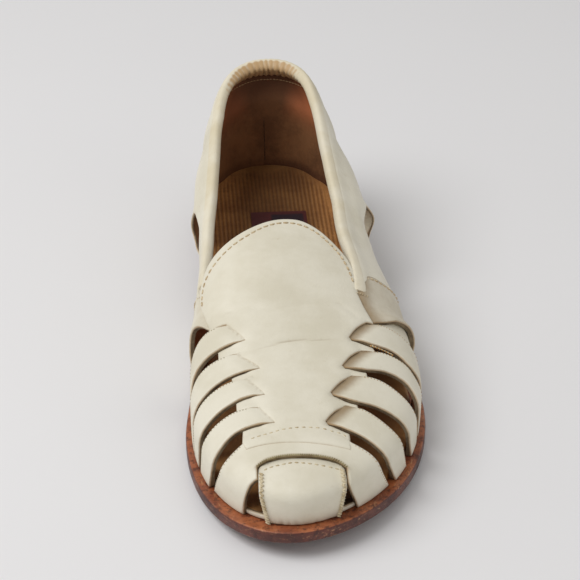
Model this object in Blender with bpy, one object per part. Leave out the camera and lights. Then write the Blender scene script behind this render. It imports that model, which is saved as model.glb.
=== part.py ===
"""Woven-front leather loafer for a left foot, about EU 39.

Lengths in the tables are millimetres. The toe points to -Y, the outer side of the foot is +X.
A place on the upper is given on the flat pattern of the last: "across" is the distance over the
leather from the ridge of the last (+ to the outer side), "along" the distance from the heel's back.
"""
import math

import bmesh
import bpy
import numpy as np
from mathutils import Vector
from mathutils.geometry import delaunay_2d_cdt

MM = 0.001

# ---- driving dimensions ----
LENGTH = 273.5          # outsole, heel back to toe tip
SOLE_THICKNESS = 5.0
GAP = 0.3               # between pieces that touch
INSOLE_THICKNESS = 3.0
TOP_LIFT = 5.0          # bottom layer of the heel
HEEL_BREAST = 63.0      # front face of the heel, from the heel's back
HEEL_TAPER = 2.0        # the heel draws in by this much towards the ground
BREAST_HOLLOW = 2.0     # depth of the curve in the heel's front face
TREAD = (171.0, 195.0)  # stations between which the outsole lies flat on the ground
EDGE_ROUND = 0.9        # rounding of the outsole's edges
COLLAR_RADIUS = 2.3     # rolled binding of the topline
COLLAR_SEAT = COLLAR_RADIUS + 2 * GAP
HEEL_CENTRE = 36.0      # the heel is a fan of sections about this station
TOE_CENTRE = 195.0      # and the toe about this one
HEEL_REACH = 34.0       # last, from the heel centre to the back
TOE_REACH = 72.3        # last, from the toe centre to the tip
SQUARER = 0.015         # for each mm outside the upper, the outsole's toe is this much squarer
TOE_LEDGE = 6.2         # the outsole's edge outside the upper at the tip of the toe
HEEL_ROUNDNESS = 2.15   # 2 is an ellipse in plan, more is squarer
TOE_ROUNDNESS = {-1: 1.95, 1: 1.88}
BACK_UPRIGHT = 4.0      # how upright the back of the heel stands
TOE_SWELL = 0.8         # how far the toe stands out past the sole line
HEEL_SWELL = 0.8        # and the back of the heel
SKEW = 0.18             # the outer ball of the foot lies behind the inner one
SKEW_START = 110.0      # station where this skew sets in
SKEW_RUN = 85.0         # and the length over which it grows
ROLL = 0.10             # the instep is higher on its inner side
ROLL_STATIONS = (100, 125, 160, 205)    # none, full, full, none
CENTRE_X = -1.55        # moves the model so that its box is centred over the origin
CENTRE_Y = -0.115

# ---- the last, one row per section ----
# along: from the heel's back; ridge: offset of the ridge; inner, outer: half widths at the sole;
# seat: height of the insole's underside; rise: ridge above the seat; wide: height of the widest line;
# inner_swell, outer_swell: how far the side stands out past the sole line; full: fullness of the
# section; ledge: the outsole's edge outside the upper
LAST_COLUMNS = ("along", "ridge", "inner", "outer", "seat", "rise", "wide",
                "inner_swell", "outer_swell", "full", "ledge")
LAST_ROWS = (
    (8, 0.5, 29.2, 29.0, 22.0, 60.0, 20, 0.8, 0.8, 2.15, 2.5),
    (22, -0.7, 29.0, 28.8, 21.9, 56.0, 20, 0.8, 0.8, 2.15, 2.5),
    (36, -2.0, 28.8, 28.5, 21.5, 51.0, 22, 0.8, 0.8, 2.15, 2.5),
    (65, -3.2, 29.0, 31.5, 19.0, 46.0, 25, 4.0, 4.2, 1.90, 2.5),
    (95, -3.5, 28.5, 34.0, 14.5, 46.0, 22.5, 5.9, 5.5, 2.06, 2.5),
    (120, -3.7, 28.5, 37.0, 10.0, 48.0, 23, 4.0, 2.6, 1.98, 3.0),
    (145, -3.9, 31.5, 42.3, 7.0, 47.8, 17, 3.8, 3.6, 2.10, 3.7),
    (170, -4.0, 35.6, 46.8, 5.3, 41.4, 15, 1.2, 1.4, 2.10, 4.6),
    (195, -4.0, 37.5, 48.6, 5.3, 35.0, 14, 0.2, 0.4, 2.10, 5.2),
    (220, -4.0, 37.5, 48.6, 6.2, 30.0, 13, 0.2, 0.4, 2.10, 5.2),
    (245, -4.0, 37.5, 48.6, 8.5, 25.8, 12, 0.4, 0.6, 2.10, 5.2),
    (268, -4.0, 37.5, 48.6, 12.0, 22.7, 11, 0.6, 0.8, 2.10, 5.2),
)
LAST = {name: np.array([row[i] for row in LAST_ROWS], float) for i, name in enumerate(LAST_COLUMNS)}

# ---- topline: height above the seat, at angles round the heel (0 = back) and at stations ----
TOPLINE_HEEL = ((0, 52.3, 52.3), (20, 50.8, 51.2), (40, 48.3, 49.6), (60, 45.2, 47.3),
                (80, 42.4, 44.8))                                            # angle, inner, outer
TOPLINE_SIDE = ((36, 41.1, 43.4), (43, 39.6, 41.9), (50, 38.8, 41.1), (57, 38.3, 40.6),
                (65, 38.0, 40.3), (80, 37.3, 40.4), (95, 36.2, 40.1), (110, 34.6, 39.7),
                (125, 34.0, 39.3), (140, 33.3, 39.1), (152, 33.3, 38.8))     # along, inner, outer
THROAT_END = {-1: 142.0, 1: 152.0}      # stations where the topline meets the plug's arch
COLLAR_END = {-1: 134.5, 1: 147.0}

# ---- flat pattern, (across, along) ----
BEYOND = 95.0           # across-distance that lies outside the pattern at every station
PATTERN_END = 292.0     # station that lies outside the pattern at the toe
PLUG_ARCH = ((-38.5, 148), (-36.5, 143), (-31.5, 138), (-25, 135), (-17.5, 132), (-11, 129.4), (-4.5, 127),
             (2, 125.6), (8.5, 125.8), (15, 129.7), (20.5, 136), (25.5, 144), (29, 152), (31, 157))
PLUG_SIDE = {-1: ((-38.5, 156), (-35.5, 164)), 1: ((29.6, 164), (31.6, 172))}
PLUG_FRONT = ((16.7, 248.5), (8, 247), (-1, 246.2), (-14, 245.8), (-22.3, 246))
# step ends of the plug between the strips, rear to front
PLUG_STEPS = {
    -1: ((-34, 171), (-34, 174), (-30, 185), (-30, 192), (-26.5, 202), (-26.5, 208), (-26, 218.5),
         (-26, 226.5), (-23.8, 234.5), (-23.8, 242.5)),
    1: ((34.5, 180.2), (35, 183), (33, 195), (33, 201), (26.5, 209), (26.5, 215.5), (21.2, 225),
        (21.2, 230.5), (17.5, 240), (17.5, 246.2)),
}
# rear and front edge of each strip, from its slit in the plug to the sole
STRIPS = {
    1: (
        (((31.5, 181.5), (40, 181.3), (49, 182), (57, 185.2), (74, 193)),
         ((23, 192), (32, 196), (41.8, 199.3), (48.7, 205.3), (56, 209), (73, 212))),
        (((26.8, 199.2), (36, 200), (44, 203), (49.6, 208.5), (57, 212), (73, 216.5)),
         ((17.1, 207.2), (25, 209.7), (34, 210.2), (42.2, 213.4), (47.8, 219.5), (54, 222.6), (67, 227))),
        (((20.1, 212), (30.3, 214.8), (39, 221), (45, 226), (52, 228.5), (65, 231.5)),
         ((11.9, 220.6), (18, 224.8), (27, 227.8), (35.3, 232), (41, 236.3), (47, 238.6), (58, 241))),
        (((17.2, 226.8), (24.3, 230.9), (32.7, 238.3), (40, 243.3), (55, 249)),
         ((9, 236), (15, 239.7), (21.4, 243.5), (28.8, 249.6), (35, 253.4), (46, 258))),
    ),
    -1: (
        (((-25.3, 175.8), (-34.5, 173.2), (-43, 173.6), (-52, 177), (-69, 181)),
         ((-18.3, 187.3), (-28.5, 186.3), (-40, 186.4), (-47, 189), (-55, 193), (-69, 197))),
        (((-22, 192.2), (-30, 191.0), (-39, 190.8), (-48, 194), (-56, 198), (-69, 202)),
         ((-14.7, 204.6), (-25, 203.6), (-34, 204.4), (-43, 207), (-52, 211), (-67, 216))),
        (((-21.2, 207.9), (-30, 206.7), (-39.5, 208.4), (-48, 212.5), (-67, 219)),
         ((-13.5, 220.2), (-22.2, 219.1), (-31.5, 220.8), (-40, 223.9), (-48, 227.5), (-63, 231))),
        (((-16.7, 226), (-26, 225.2), (-34, 226.9), (-41, 230), (-48, 232.8), (-62, 236)),
         ((-10.2, 235.7), (-19.7, 235.5), (-27.6, 237), (-35.8, 242.6), (-43, 246.5), (-56, 251))),
    ),
}
QUARTER_FRONT = {-1: ((-34, 171), (-39, 165), (-47, 160.5), (-56, 162), (-63, 169), (-71, 175)),
                 1: ((34.5, 180.2), (40, 179), (47, 175), (55, 171.5), (63, 172.5), (70, 177), (80, 185))}
BAND_OUTER = {-1: ((-23.8, 242.5), (-29, 245.5), (-36, 248.8), (-43, 251), (-53, 256)),
              1: ((17.5, 246.2), (23.4, 250.1), (27.5, 253.6), (33, 257), (42, 261))}
BAND_INNER = ((14.3, 258.6), (11, 256), (5, 254.4), (-2, 253.8), (-9, 253.6), (-15, 254.4), (-18.2, 256.2))
TAB_EDGE = {-1: ((-18.2, 256.2), (-18.2, 272), (-18.4, PATTERN_END)),
            1: ((14.3, 258.6), (14.2, 270), (14.8, PATTERN_END))}
TOE_HOLE = {-1: ((-18.2, 260.8), (-21, 261.6), (-24.5, 265), (-27.3, 269.5), (-29.3, 274.8), (-31, 282)),
            1: ((14.3, 263.2), (16.4, 266.4), (19, 269.6), (21.4, 273), (23.4, 277.6), (25, 286))}
# seam where the front of the quarter laps over its rear part
SEAM = {-1: ((-38.5, 148), (-45, 143), (-54, 137), (-72, 132), (-88, 129)),
        1: ((31, 157), (37, 153), (47, 146), (58, 141), (74, 137), (88, 134))}
# opening low in the quarter at the waist: along, height above the sole line, half sizes
SLOT_CENTRE = (94.5, 20.0)
SLOT_HALF = (11.0, 8.0)
SLOT_SQUARE = 2.6       # 2 is an ellipse, more is squarer
BAND_START = 238.0      # ahead of this the plain leather is the toe band, behind it the quarters

# ---- outer face of the upper above the last, by piece ----
QUARTER = 1.6
QUARTER_LAP = 2.1
PLUG = 2.6
BAND = 2.0
TAB = 1.4
STRIP = 2.8
STRIP_AT_SLIT = 1.7
STRIP_DIVE = 7.0        # length over which a strip sinks to its slit

PATTERN_STEP = 6.0      # spacing of points along the pattern's edges
FIELD_STEP = 7.5        # and inside its pieces
EDGE_CLEAR = 3.0        # inner points keep this far from the edges
LEVEL_ZONE = 6.0        # this near the sole line the wall's thickness is measured level
ARCH_POINTS = 49        # points on a section from the ridge to its widest line
TUCK_POINTS = 15        # and from there in to the sole line


def column(name, along):
    """Smooth, never overshooting curve through one column of the last's table."""
    x, y = LAST["along"], LAST[name]
    rise = np.diff(y) / np.diff(x)
    product = rise[1:] * rise[:-1]
    slope = np.concatenate([rise[:1], np.zeros(len(x) - 2), rise[-1:]])
    same = product > 0
    slope[1:-1][same] = 2 * product[same] / (rise[1:] + rise[:-1])[same]
    along = np.asarray(along, float)
    i = np.clip(np.searchsorted(x, along) - 1, 0, len(x) - 2)
    step = x[i + 1] - x[i]
    t = np.clip((along - x[i]) / step, 0, 1)
    inside = ((2 * t**3 - 3 * t**2 + 1) * y[i] + (t**3 - 2 * t**2 + t) * step * slope[i]
              + (3 * t**2 - 2 * t**3) * y[i + 1] + (t**3 - t**2) * step * slope[i + 1])
    before = np.minimum(along - x[0], 0) * slope[0]
    after = np.maximum(along - x[-1], 0) * slope[-1]
    return inside + before + after


def side_column(name, along, side):
    return np.where(side < 0, column("inner" + name, along), column("outer" + name, along))


def skew_at(along):
    t = np.clip((along - SKEW_START) / SKEW_RUN, 0, 1)
    return SKEW * t**2 * (3 - 2 * t)


def plan_reach(angle, width, front, roundness):
    return ((np.abs(np.sin(angle)) / width) ** roundness
            + (np.abs(np.cos(angle)) / front) ** roundness) ** (-1 / roundness)


def place(across, along, height, ridge):
    """Point in the model's frame from a plan position and a height."""
    y = LENGTH / 2 + CENTRE_Y - along + skew_at(along) * (across - ridge)
    return np.stack([across + CENTRE_X, y, height], -1)


def sections(kind, value, side):
    """Half sections of the last, ridge to sole line: kind 0 at a station, 1 toe fan, 2 heel fan."""
    kind, value, side = np.asarray(kind), np.asarray(value, float), np.asarray(side)
    base = np.where(kind == 0, value, np.where(kind == 1, TOE_CENTRE, HEEL_CENTRE))
    angle = np.where(kind == 0, math.pi / 2, value)
    sine, cosine = np.sin(angle), np.cos(angle)
    width = side_column("", base, side)
    round_toe = np.where(side < 0, TOE_ROUNDNESS[-1], TOE_ROUNDNESS[1])
    toe = plan_reach(angle, width, TOE_REACH, round_toe)
    heel = plan_reach(angle, width, HEEL_REACH, HEEL_ROUNDNESS)
    reach = np.where(kind == 0, width, np.where(kind == 1, toe, heel))
    swell = side_column("_swell", base, side)
    swell = swell * sine**2 + np.where(kind == 1, TOE_SWELL, HEEL_SWELL) * cosine**2
    full = column("full", base)
    full = np.where(kind == 2, full + (BACK_UPRIGHT - full) * cosine**4, full)[:, None]
    turn = np.linspace(0, math.pi / 2, ARCH_POINTS)[None]
    out = np.sin(turn) ** (2 / full)
    up = np.abs(np.cos(turn)) ** (2 / full)
    tuck = np.linspace(0, 1, TUCK_POINTS)[None, 1:]
    wide = (reach + swell)[:, None]
    plan = np.concatenate([wide * out, wide - swell[:, None] * tuck**2], 1)
    forward = np.where(kind == 0, 0, np.where(kind == 1, cosine, -cosine))[:, None]
    along = base[:, None] + forward * plan
    ridge = column("ridge", base)[:, None]
    across = ridge + (side * sine)[:, None] * plan
    widest = column("wide", along)
    top = ARCH_POINTS
    height = np.concatenate([widest[:, :top] + (column("rise", along[:, :top]) - widest[:, :top]) * up,
                             widest[:, top:] * (1 - tuck)], 1)
    roll = ROLL * np.interp(along, ROLL_STATIONS, (0, 1, 1, 0))
    lean = np.concatenate([1 - (1 - up) ** 2 + 0 * plan[:, :top], 0 * plan[:, top:]], 1)
    height = height + column("seat", along) - roll * (across - ridge) * lean
    return place(across, along, height, ridge)


def flat_to_section(across, along):
    across = np.atleast_1d(np.asarray(across, float))
    along = np.atleast_1d(np.asarray(along, float))
    side = np.where(across < 0, -1, 1)
    kind = np.where(along > TOE_CENTRE, 1, np.where(along < HEEL_CENTRE, 2, 0))
    run = np.where(kind == 1, along - TOE_CENTRE, np.where(kind == 2, HEEL_CENTRE - along, 0))
    value = np.where(kind == 0, along, np.arctan2(np.abs(across), run))
    return kind, value, side, np.hypot(across, run)


def section_lengths(curves):
    steps = np.linalg.norm(np.diff(curves, axis=1), axis=2)
    return np.concatenate([np.zeros((len(curves), 1)), np.cumsum(steps, 1)], 1)


def on_last(across, along):
    """Points on the last from flat pattern places, and their distance above the sole line."""
    kind, value, side, distance = flat_to_section(across, along)
    curves = sections(kind, value, side)
    lengths = section_lengths(curves)
    points = np.empty((len(curves), 3))
    for i, (curve, length) in enumerate(zip(curves, lengths)):
        past = max(distance[i] - length[-1], 0)
        for axis in range(3):
            points[i, axis] = np.interp(distance[i], length, curve[:, axis])
        points[i] += (curve[-1] - curve[-2]) / (length[-1] - length[-2]) * past
    return points, lengths[:, -1] - distance


def off_last(across, along, offset):
    """Points at an offset outside the last; near the sole line the offset is level."""
    step = 0.4
    points, above = on_last(across, along)
    side_way = on_last(across + step, along)[0] - on_last(across - step, along)[0]
    long_way = on_last(across, along + step)[0] - on_last(across, along - step)[0]
    normal = np.cross(long_way, side_way)
    level = np.clip(1 - above / LEVEL_ZONE, 0, 1)
    normal[:, 2] *= 1 - level**2 * (3 - 2 * level)
    normal /= np.linalg.norm(normal, axis=1)[:, None]
    return points + normal * np.asarray(offset, float)[:, None]


def flat_at(kind, value, side, above):
    """Flat pattern place of a point at a distance above the sole line on one section."""
    length = section_lengths(sections([kind], [value], [side]))[0, -1] - above
    if kind == 0:
        return side * length, value
    if kind == 1:
        return side * length * math.sin(value), TOE_CENTRE + length * math.cos(value)
    return side * length * math.sin(value), HEEL_CENTRE - length * math.cos(value)


def smooth_line(points, step=PATTERN_STEP):
    """Evenly spaced points on a smooth curve through the given ones."""
    points = np.asarray(points, float)
    if len(points) > 2:
        ends = np.vstack([2 * points[0] - points[1], points, 2 * points[-1] - points[-2]])
        t = np.linspace(0, 1, 9)[:-1, None]
        runs = [0.5 * (2 * b + (c - a) * t + (2 * a - 5 * b + 4 * c - d) * t**2
                       + (3 * b - a - 3 * c + d) * t**3)
                for a, b, c, d in zip(ends[:-3], ends[1:-2], ends[2:-1], ends[3:])]
        points = np.vstack(runs + [points[-1:]])
    length = np.concatenate([[0], np.cumsum(np.linalg.norm(np.diff(points, axis=0), axis=1))])
    count = max(int(round(length[-1] / step)), 1) + 1
    at = np.linspace(0, length[-1], count)
    return np.stack([np.interp(at, length, points[:, k]) for k in range(2)], -1)


def inside(points, polygon):
    x, y = np.asarray(points, float).T
    hit = np.zeros(len(x), bool)
    for (x0, y0), (x1, y1) in zip(polygon, np.roll(polygon, -1, axis=0)):
        if y0 != y1:
            cross = (y0 > y) != (y1 > y)
            hit ^= cross & (x < (x1 - x0) * (y - y0) / (y1 - y0) + x0)
    return hit


def distance_to(points, line):
    best = np.full(len(points), 1e9)
    for a, b in zip(line[:-1], line[1:]):
        span = b - a
        t = np.clip(((points - a) @ span) / max(span @ span, 1e-9), 0, 1)
        best = np.minimum(best, np.linalg.norm(points - a - t[:, None] * span, axis=1))
    return best


def section_walk(toe_angles, stations, heel_angles):
    """Sections once round the foot: outer side toe to heel, then the inner side back to the toe."""
    outer = [(1, math.radians(a), 1) for a in toe_angles]
    outer += [(0, u, 1) for u in stations]
    outer += [(2, math.radians(a), 1) for a in heel_angles]
    inner = [(kind, value, -1) for kind, value, side in reversed(outer)]
    return outer + [entry for entry in inner if entry[1] > 0 or entry[0] == 0]


def sole_walk():
    return section_walk(range(0, 90, 5), range(195, 35, -6), range(84, -1, -12))


def feather_loop():
    return np.array([flat_at(kind, value, side, 0) for kind, value, side in sole_walk()])


def topline_flat(side, kind, value, height, drop):
    """Place on the pattern of the topline on one section, lowered by drop over the leather."""
    curve = sections([kind], [value], [side])[0]
    lengths = section_lengths(curve[None])[0]
    base = float(column("seat", HEEL_CENTRE if kind == 2 else value))
    rise = curve[::-1, 2] - base
    crest = int(rise.argmax()) + 1
    above = np.interp(height, rise[:crest], (lengths[-1] - lengths)[::-1][:crest])
    return flat_at(kind, value, side, above - drop)


def topline(side, drop, end):
    """Topline from the back of the heel forward to a station."""
    number = 1 if side < 0 else 2
    around, beside = np.array(TOPLINE_HEEL), np.array(TOPLINE_SIDE)
    line = []
    for angle in range(0, 90, 10):
        height = np.interp(angle, around[:, 0], around[:, number])
        line.append(topline_flat(side, 2, math.radians(angle), height, drop))
    for along in np.append(np.arange(HEEL_CENTRE, end - 2, 7.0), end):
        height = np.interp(along, beside[:, 0], beside[:, number])
        line.append(topline_flat(side, 0, float(along), height, drop))
    return np.array(line)


def throat_polygon():
    """Edge of the upper round the opening: under the collar, then along the plug's arch."""
    outer = topline(1, COLLAR_SEAT, THROAT_END[1])
    inner = topline(-1, COLLAR_SEAT, THROAT_END[-1])
    return np.vstack([outer[::-1], inner[1:], smooth_line(PLUG_ARCH)])


def slot_polygon(side):
    along, above = SLOT_CENTRE
    loop = []
    for turn in np.linspace(0, 2 * math.pi, 18, endpoint=False):
        c, s = math.cos(turn), math.sin(turn)
        square = (abs(c) ** SLOT_SQUARE + abs(s) ** SLOT_SQUARE) ** (-1 / SLOT_SQUARE)
        loop.append(flat_at(0, along + SLOT_HALF[0] * c * square, side, above + SLOT_HALF[1] * s * square))
    return np.array(loop)


def strip_polygon(side, rear, front):
    return np.vstack([smooth_line(rear), smooth_line(front)[::-1]])


def side_field(side):
    """The open part of one side: between quarter and toe band, outside the plug's steps."""
    front = smooth_line(QUARTER_FRONT[side])
    band = smooth_line(BAND_OUTER[side])
    steps = np.array(PLUG_STEPS[side], float)
    return np.vstack([front, [(side * BEYOND, 225.0)], band[::-1], steps[::-1]])


def plug_polygon():
    arch = smooth_line(PLUG_ARCH)
    outer = np.array(PLUG_SIDE[1] + PLUG_STEPS[1], float)
    inner = np.array(PLUG_SIDE[-1] + PLUG_STEPS[-1], float)[::-1]
    return np.vstack([arch, outer, smooth_line(PLUG_FRONT), inner])


def tab_polygon():
    return np.vstack([smooth_line(BAND_INNER), smooth_line(TAB_EDGE[-1])[1:], smooth_line(TAB_EDGE[1])[::-1]])


def toe_hole_polygon(side):
    edge = smooth_line(TOE_HOLE[side], 4.0)
    return np.vstack([edge, [(edge[0, 0], PATTERN_END)]])


def lap_polygon(side):
    """Front part of the quarter, from its seam to its front edge."""
    seam = smooth_line(SEAM[side])
    front = smooth_line(QUARTER_FRONT[side])
    plug = np.array(PLUG_SIDE[side], float)
    return np.vstack([seam, [(side * BEYOND, 160.0)], front[::-1], plug[::-1]])


def upper_pieces():
    """Outlines on the flat pattern, the first that holds a place decides what is there."""
    pieces = [("open", throat_polygon())]
    for side in (-1, 1):
        pieces.append(("open", slot_polygon(side)))
        pieces.append(("open", toe_hole_polygon(side)))
    for side in (-1, 1):
        for rear, front in STRIPS[side]:
            pieces.append(("strip", strip_polygon(side, rear, front)))
    pieces += [("open", side_field(side)) for side in (-1, 1)]
    pieces.append(("tab", tab_polygon()))
    pieces.append(("plug", plug_polygon()))
    pieces += [("lap", lap_polygon(side)) for side in (-1, 1)]
    return pieces


def strip_height(points, number):
    side = -1 if number < 4 else 1
    rear, front = STRIPS[side][number % 4]
    slit = np.array([rear[0], front[0]], float)
    t = np.clip(distance_to(points, slit) / STRIP_DIVE, 0, 1)
    return STRIP_AT_SLIT + (STRIP - STRIP_AT_SLIT) * t


def triangulate(lines, extra):
    """Triangles of the flat pattern that keep every given line."""
    points, edges = [Vector(p) for p in extra], []
    for line in lines:
        first = len(points)
        points += [Vector(p) for p in line]
        edges += [(first + k, first + k + 1) for k in range(len(line) - 1)]
    flat, _, faces, _, _, _ = delaunay_2d_cdt(points, edges, [], 0, 1e-4)
    return np.array([tuple(p) for p in flat]), [tuple(f) for f in faces]


def field_points(outline, lines, step, clear):
    low, high = outline.min(0), outline.max(0)
    rows = []
    for number, y in enumerate(np.arange(low[1], high[1], step * 0.87)):
        shift = step / 2 if number % 2 else 0
        rows += [(x, y) for x in np.arange(low[0] + shift, high[0], step)]
    grid = np.array(rows)
    grid = grid[inside(grid, outline)]
    near = np.full(len(grid), 1e9)
    for line in lines:
        near = np.minimum(near, distance_to(grid, line))
    return grid[near > clear]


def make_object(name, bm, colour, roughness, smooth_angle=40):
    bmesh.ops.recalc_face_normals(bm, faces=bm.faces)
    mesh = bpy.data.meshes.new(name)
    bm.to_mesh(mesh)
    bm.free()
    mesh.shade_smooth()
    mesh.set_sharp_from_angle(angle=math.radians(smooth_angle))
    material = bpy.data.materials.new(name + "_leather")
    material.use_nodes = True
    shader = material.node_tree.nodes["Principled BSDF"]
    shader.inputs["Base Color"].default_value = (*colour, 1.0)
    shader.inputs["Roughness"].default_value = roughness
    shader.inputs["Metallic"].default_value = 0.0
    mesh.materials.append(material)
    item = bpy.data.objects.new(name, mesh)
    bpy.context.scene.collection.objects.link(item)
    return item


def relief_wall(flat, faces, kinds, heights):
    """One closed body: its inner face on the last, its outer face at each piece's own height."""
    levels = {}
    tops = {}
    for face, kind in zip(faces, kinds):
        if kind is None:
            continue
        for i in face:
            tops[i, kind] = round(float(heights[kind][i]), 2)
            levels.setdefault(i, {0.0}).add(tops[i, kind])
    keys = [(i, level) for i in levels for level in sorted(levels[i])]
    number = {key: k for k, key in enumerate(keys)}
    where = np.array([i for i, _ in keys])
    world = off_last(flat[where, 0], flat[where, 1], [level for _, level in keys]) * MM
    bm = bmesh.new()
    verts = [bm.verts.new(p) for p in world]
    edges = {}
    for face, kind in zip(faces, kinds):
        for a, b in zip(face, face[1:] + face[:1]):
            edges.setdefault(frozenset((a, b)), []).append(kind)
        if kind is not None:
            bm.faces.new([verts[number[i, tops[i, kind]]] for i in face])
            bm.faces.new([verts[number[i, 0.0]] for i in reversed(face)])
    for edge, beside in edges.items():
        beside = beside + [None] * (2 - len(beside))
        if beside[0] != beside[1]:
            step_faces(bm, verts, number, levels, tops, tuple(edge), beside)
    return bm


def step_faces(bm, verts, number, levels, tops, edge, beside):
    """Upright faces between two pieces of different height, through every level on the way."""
    chains = []
    for i in edge:
        ends = [tops.get((i, kind), 0.0) if kind is not None else 0.0 for kind in beside]
        low, high = min(ends), max(ends)
        chains.append([number[i, level] for level in sorted(levels[i]) if low <= level <= high])
    left, right = chains
    a = b = 0
    while a < len(left) - 1 or b < len(right) - 1:
        go_left = b == len(right) - 1 or (a < len(left) - 1 and a / len(left) <= b / len(right))
        third = left[a + 1] if go_left else right[b + 1]
        corners = [verts[left[a]], verts[right[b]], verts[third]]
        if len(set(corners)) == 3:
            bm.faces.new(corners)
        a, b = (a + 1, b) if go_left else (a, b + 1)


def split_crossings(flat, faces, kinds, heights):
    """Adds a point on the edge between two pieces where one dives under the other."""
    flat = [tuple(p) for p in flat]
    faces = [tuple(face) for face in faces]
    heights = {kind: list(values) for kind, values in heights.items()}
    beside = {}
    for f, face in enumerate(faces):
        for a, b in zip(face, face[1:] + face[:1]):
            beside.setdefault(frozenset((a, b)), []).append(f)
    for edge, pair in beside.items():
        names = [kinds[f] for f in pair]
        if len(pair) < 2 or None in names or names[0] == names[1]:
            continue
        i, j = sorted(edge)
        start = heights[names[0]][i] - heights[names[1]][i]
        end = heights[names[0]][j] - heights[names[1]][j]
        if start * end >= 0:
            continue
        t = start / (start - end)
        new = len(flat)
        flat.append(tuple(p + (q - p) * t for p, q in zip(flat[i], flat[j])))
        for values in heights.values():
            values.append(values[i] + (values[j] - values[i]) * t)
        heights[names[1]][new] = heights[names[0]][new]
        for f in pair:
            face = faces[f]
            at = next(k for k in range(len(face)) if {face[k], face[(k + 1) % len(face)]} == {i, j})
            faces[f] = face[:at + 1] + (new,) + face[at + 1:]
    return np.array(flat), faces, heights


def make_upper():
    pieces = upper_pieces()
    feather = feather_loop()
    closed = [np.vstack([outline, outline[:1]]) for _, outline in pieces]
    closed.append(np.vstack([feather, feather[:1]]))
    extra = field_points(feather, closed, FIELD_STEP, EDGE_CLEAR)
    flat, faces = triangulate(closed, extra)
    centres = np.array([flat[list(face)].mean(0) for face in faces])
    kinds = [None] * len(faces)
    held = [inside(centres, outline) for _, outline in pieces]
    within = inside(centres, feather)
    strip_number = {}
    for index, (what, _) in enumerate(pieces):
        if what == "strip":
            strip_number[index] = len(strip_number)
    heights = {"plug": np.full(len(flat), PLUG), "lap": np.full(len(flat), QUARTER_LAP),
               "tab": np.full(len(flat), TAB), "band": np.full(len(flat), BAND),
               "quarter": np.full(len(flat), QUARTER)}
    for index, strip in strip_number.items():
        heights["strip%d" % strip] = strip_height(flat, strip)
    for k, centre in enumerate(centres):
        if not within[k]:
            continue
        first = next((i for i in range(len(pieces)) if held[i][k]), None)
        what = pieces[first][0] if first is not None else ("band" if centre[1] > BAND_START else "quarter")
        if what == "strip":
            what += str(strip_number[first])
        kinds[k] = None if what == "open" else what
    flat, faces, heights = split_crossings(flat, faces, kinds, heights)
    bm = relief_wall(flat, faces, kinds, heights)
    return make_object("upper", bm, (0.80, 0.77, 0.66), 0.5, 35)


def plan_loop(edge, walk):
    """Plan outline: the last's sole line moved out by edge(ledge), with the ridge at each point."""
    loop = []
    for kind, value, side in walk:
        base = value if kind == 0 else (TOE_CENTRE if kind == 1 else HEEL_CENTRE)
        out = edge(float(column("ledge", base)))
        width = float(side_column("", base, side)) + out
        ridge = float(column("ridge", base))
        if kind == 0:
            loop.append((ridge + side * width, value, ridge))
            continue
        front = TOE_REACH + edge(TOE_LEDGE) if kind == 1 else HEEL_REACH + out
        roundness = TOE_ROUNDNESS[side] + SQUARER * out if kind == 1 else HEEL_ROUNDNESS
        reach = float(plan_reach(value, width, front, roundness))
        forward = math.cos(value) if kind == 1 else -math.cos(value)
        loop.append((ridge + side * math.sin(value) * reach, base + forward * reach, ridge))
    return np.array(loop)


def heel_loop(edge):
    """Plan outline of the heel: the seat's outline, closed by a slightly hollow front face."""
    walk = section_walk((), np.linspace(HEEL_BREAST, HEEL_CENTRE, 5), range(78, -1, -12))
    loop = plan_loop(edge, walk)
    (inner, _, ridge), (outer, _, _) = loop[-1], loop[0]
    breast = [(inner + (outer - inner) * t, HEEL_BREAST - BREAST_HOLLOW * (1 - (2 * t - 1) ** 2), ridge)
              for t in (0.2, 0.4, 0.6, 0.8)]
    return np.vstack([loop, breast])


def cap_faces(bm, loop, ring, height_at, step, ribs):
    """Fills a ring with triangles whose inner points follow height_at(along)."""
    plan = loop[:, :2]
    closed = np.vstack([plan, plan[:1]])
    lines = [closed] + [plan[np.abs(plan[:, 1] - at) < 0.01] for at in ribs]
    flat, faces = triangulate(lines, field_points(plan, lines, step, step * 0.45))
    found = {}
    for k, spot in enumerate(flat):
        gaps = np.linalg.norm(plan - spot, axis=1)
        if gaps.min() < 1e-2:
            found[k] = ring[int(gaps.argmin())]
        else:
            ridge = float(column("ridge", np.clip(spot[1], HEEL_CENTRE, TOE_CENTRE)))
            point = place(spot[:1], spot[1:2], height_at(spot[1:2]), ridge)[0]
            found[k] = bm.verts.new(point * MM)
    middle = np.array([flat[list(face)].mean(0) for face in faces])
    for face, good in zip(faces, inside(middle, plan)):
        if good:
            bm.faces.new([found[k] for k in face])
    for k in [k for k in found if not found[k].link_faces]:
        bm.verts.remove(found[k])


def slab(rings, top_at, bottom_at, step=12.0, ribs=()):
    """Closed body through a stack of (plan outline, heights) rings, top to bottom."""
    bm = bmesh.new()
    made = []
    for loop, height in rings:
        points = place(loop[:, 0], loop[:, 1], height + 0 * loop[:, 1], loop[:, 2]) * MM
        made.append([bm.verts.new(p) for p in points])
    for upper, lower in zip(made[:-1], made[1:]):
        for k, vert in enumerate(upper):
            n = (k + 1) % len(upper)
            bm.faces.new((vert, lower[k], lower[n], upper[n]))
    cap_faces(bm, rings[0][0], made[0], top_at, step, ())
    cap_faces(bm, rings[-1][0], made[-1], bottom_at, step, ribs)
    return bm


def seat(along):
    return column("seat", along)


def sole_top(along):
    return seat(along) - GAP


def sole_bottom(along):
    return seat(along) - GAP - SOLE_THICKNESS


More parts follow.
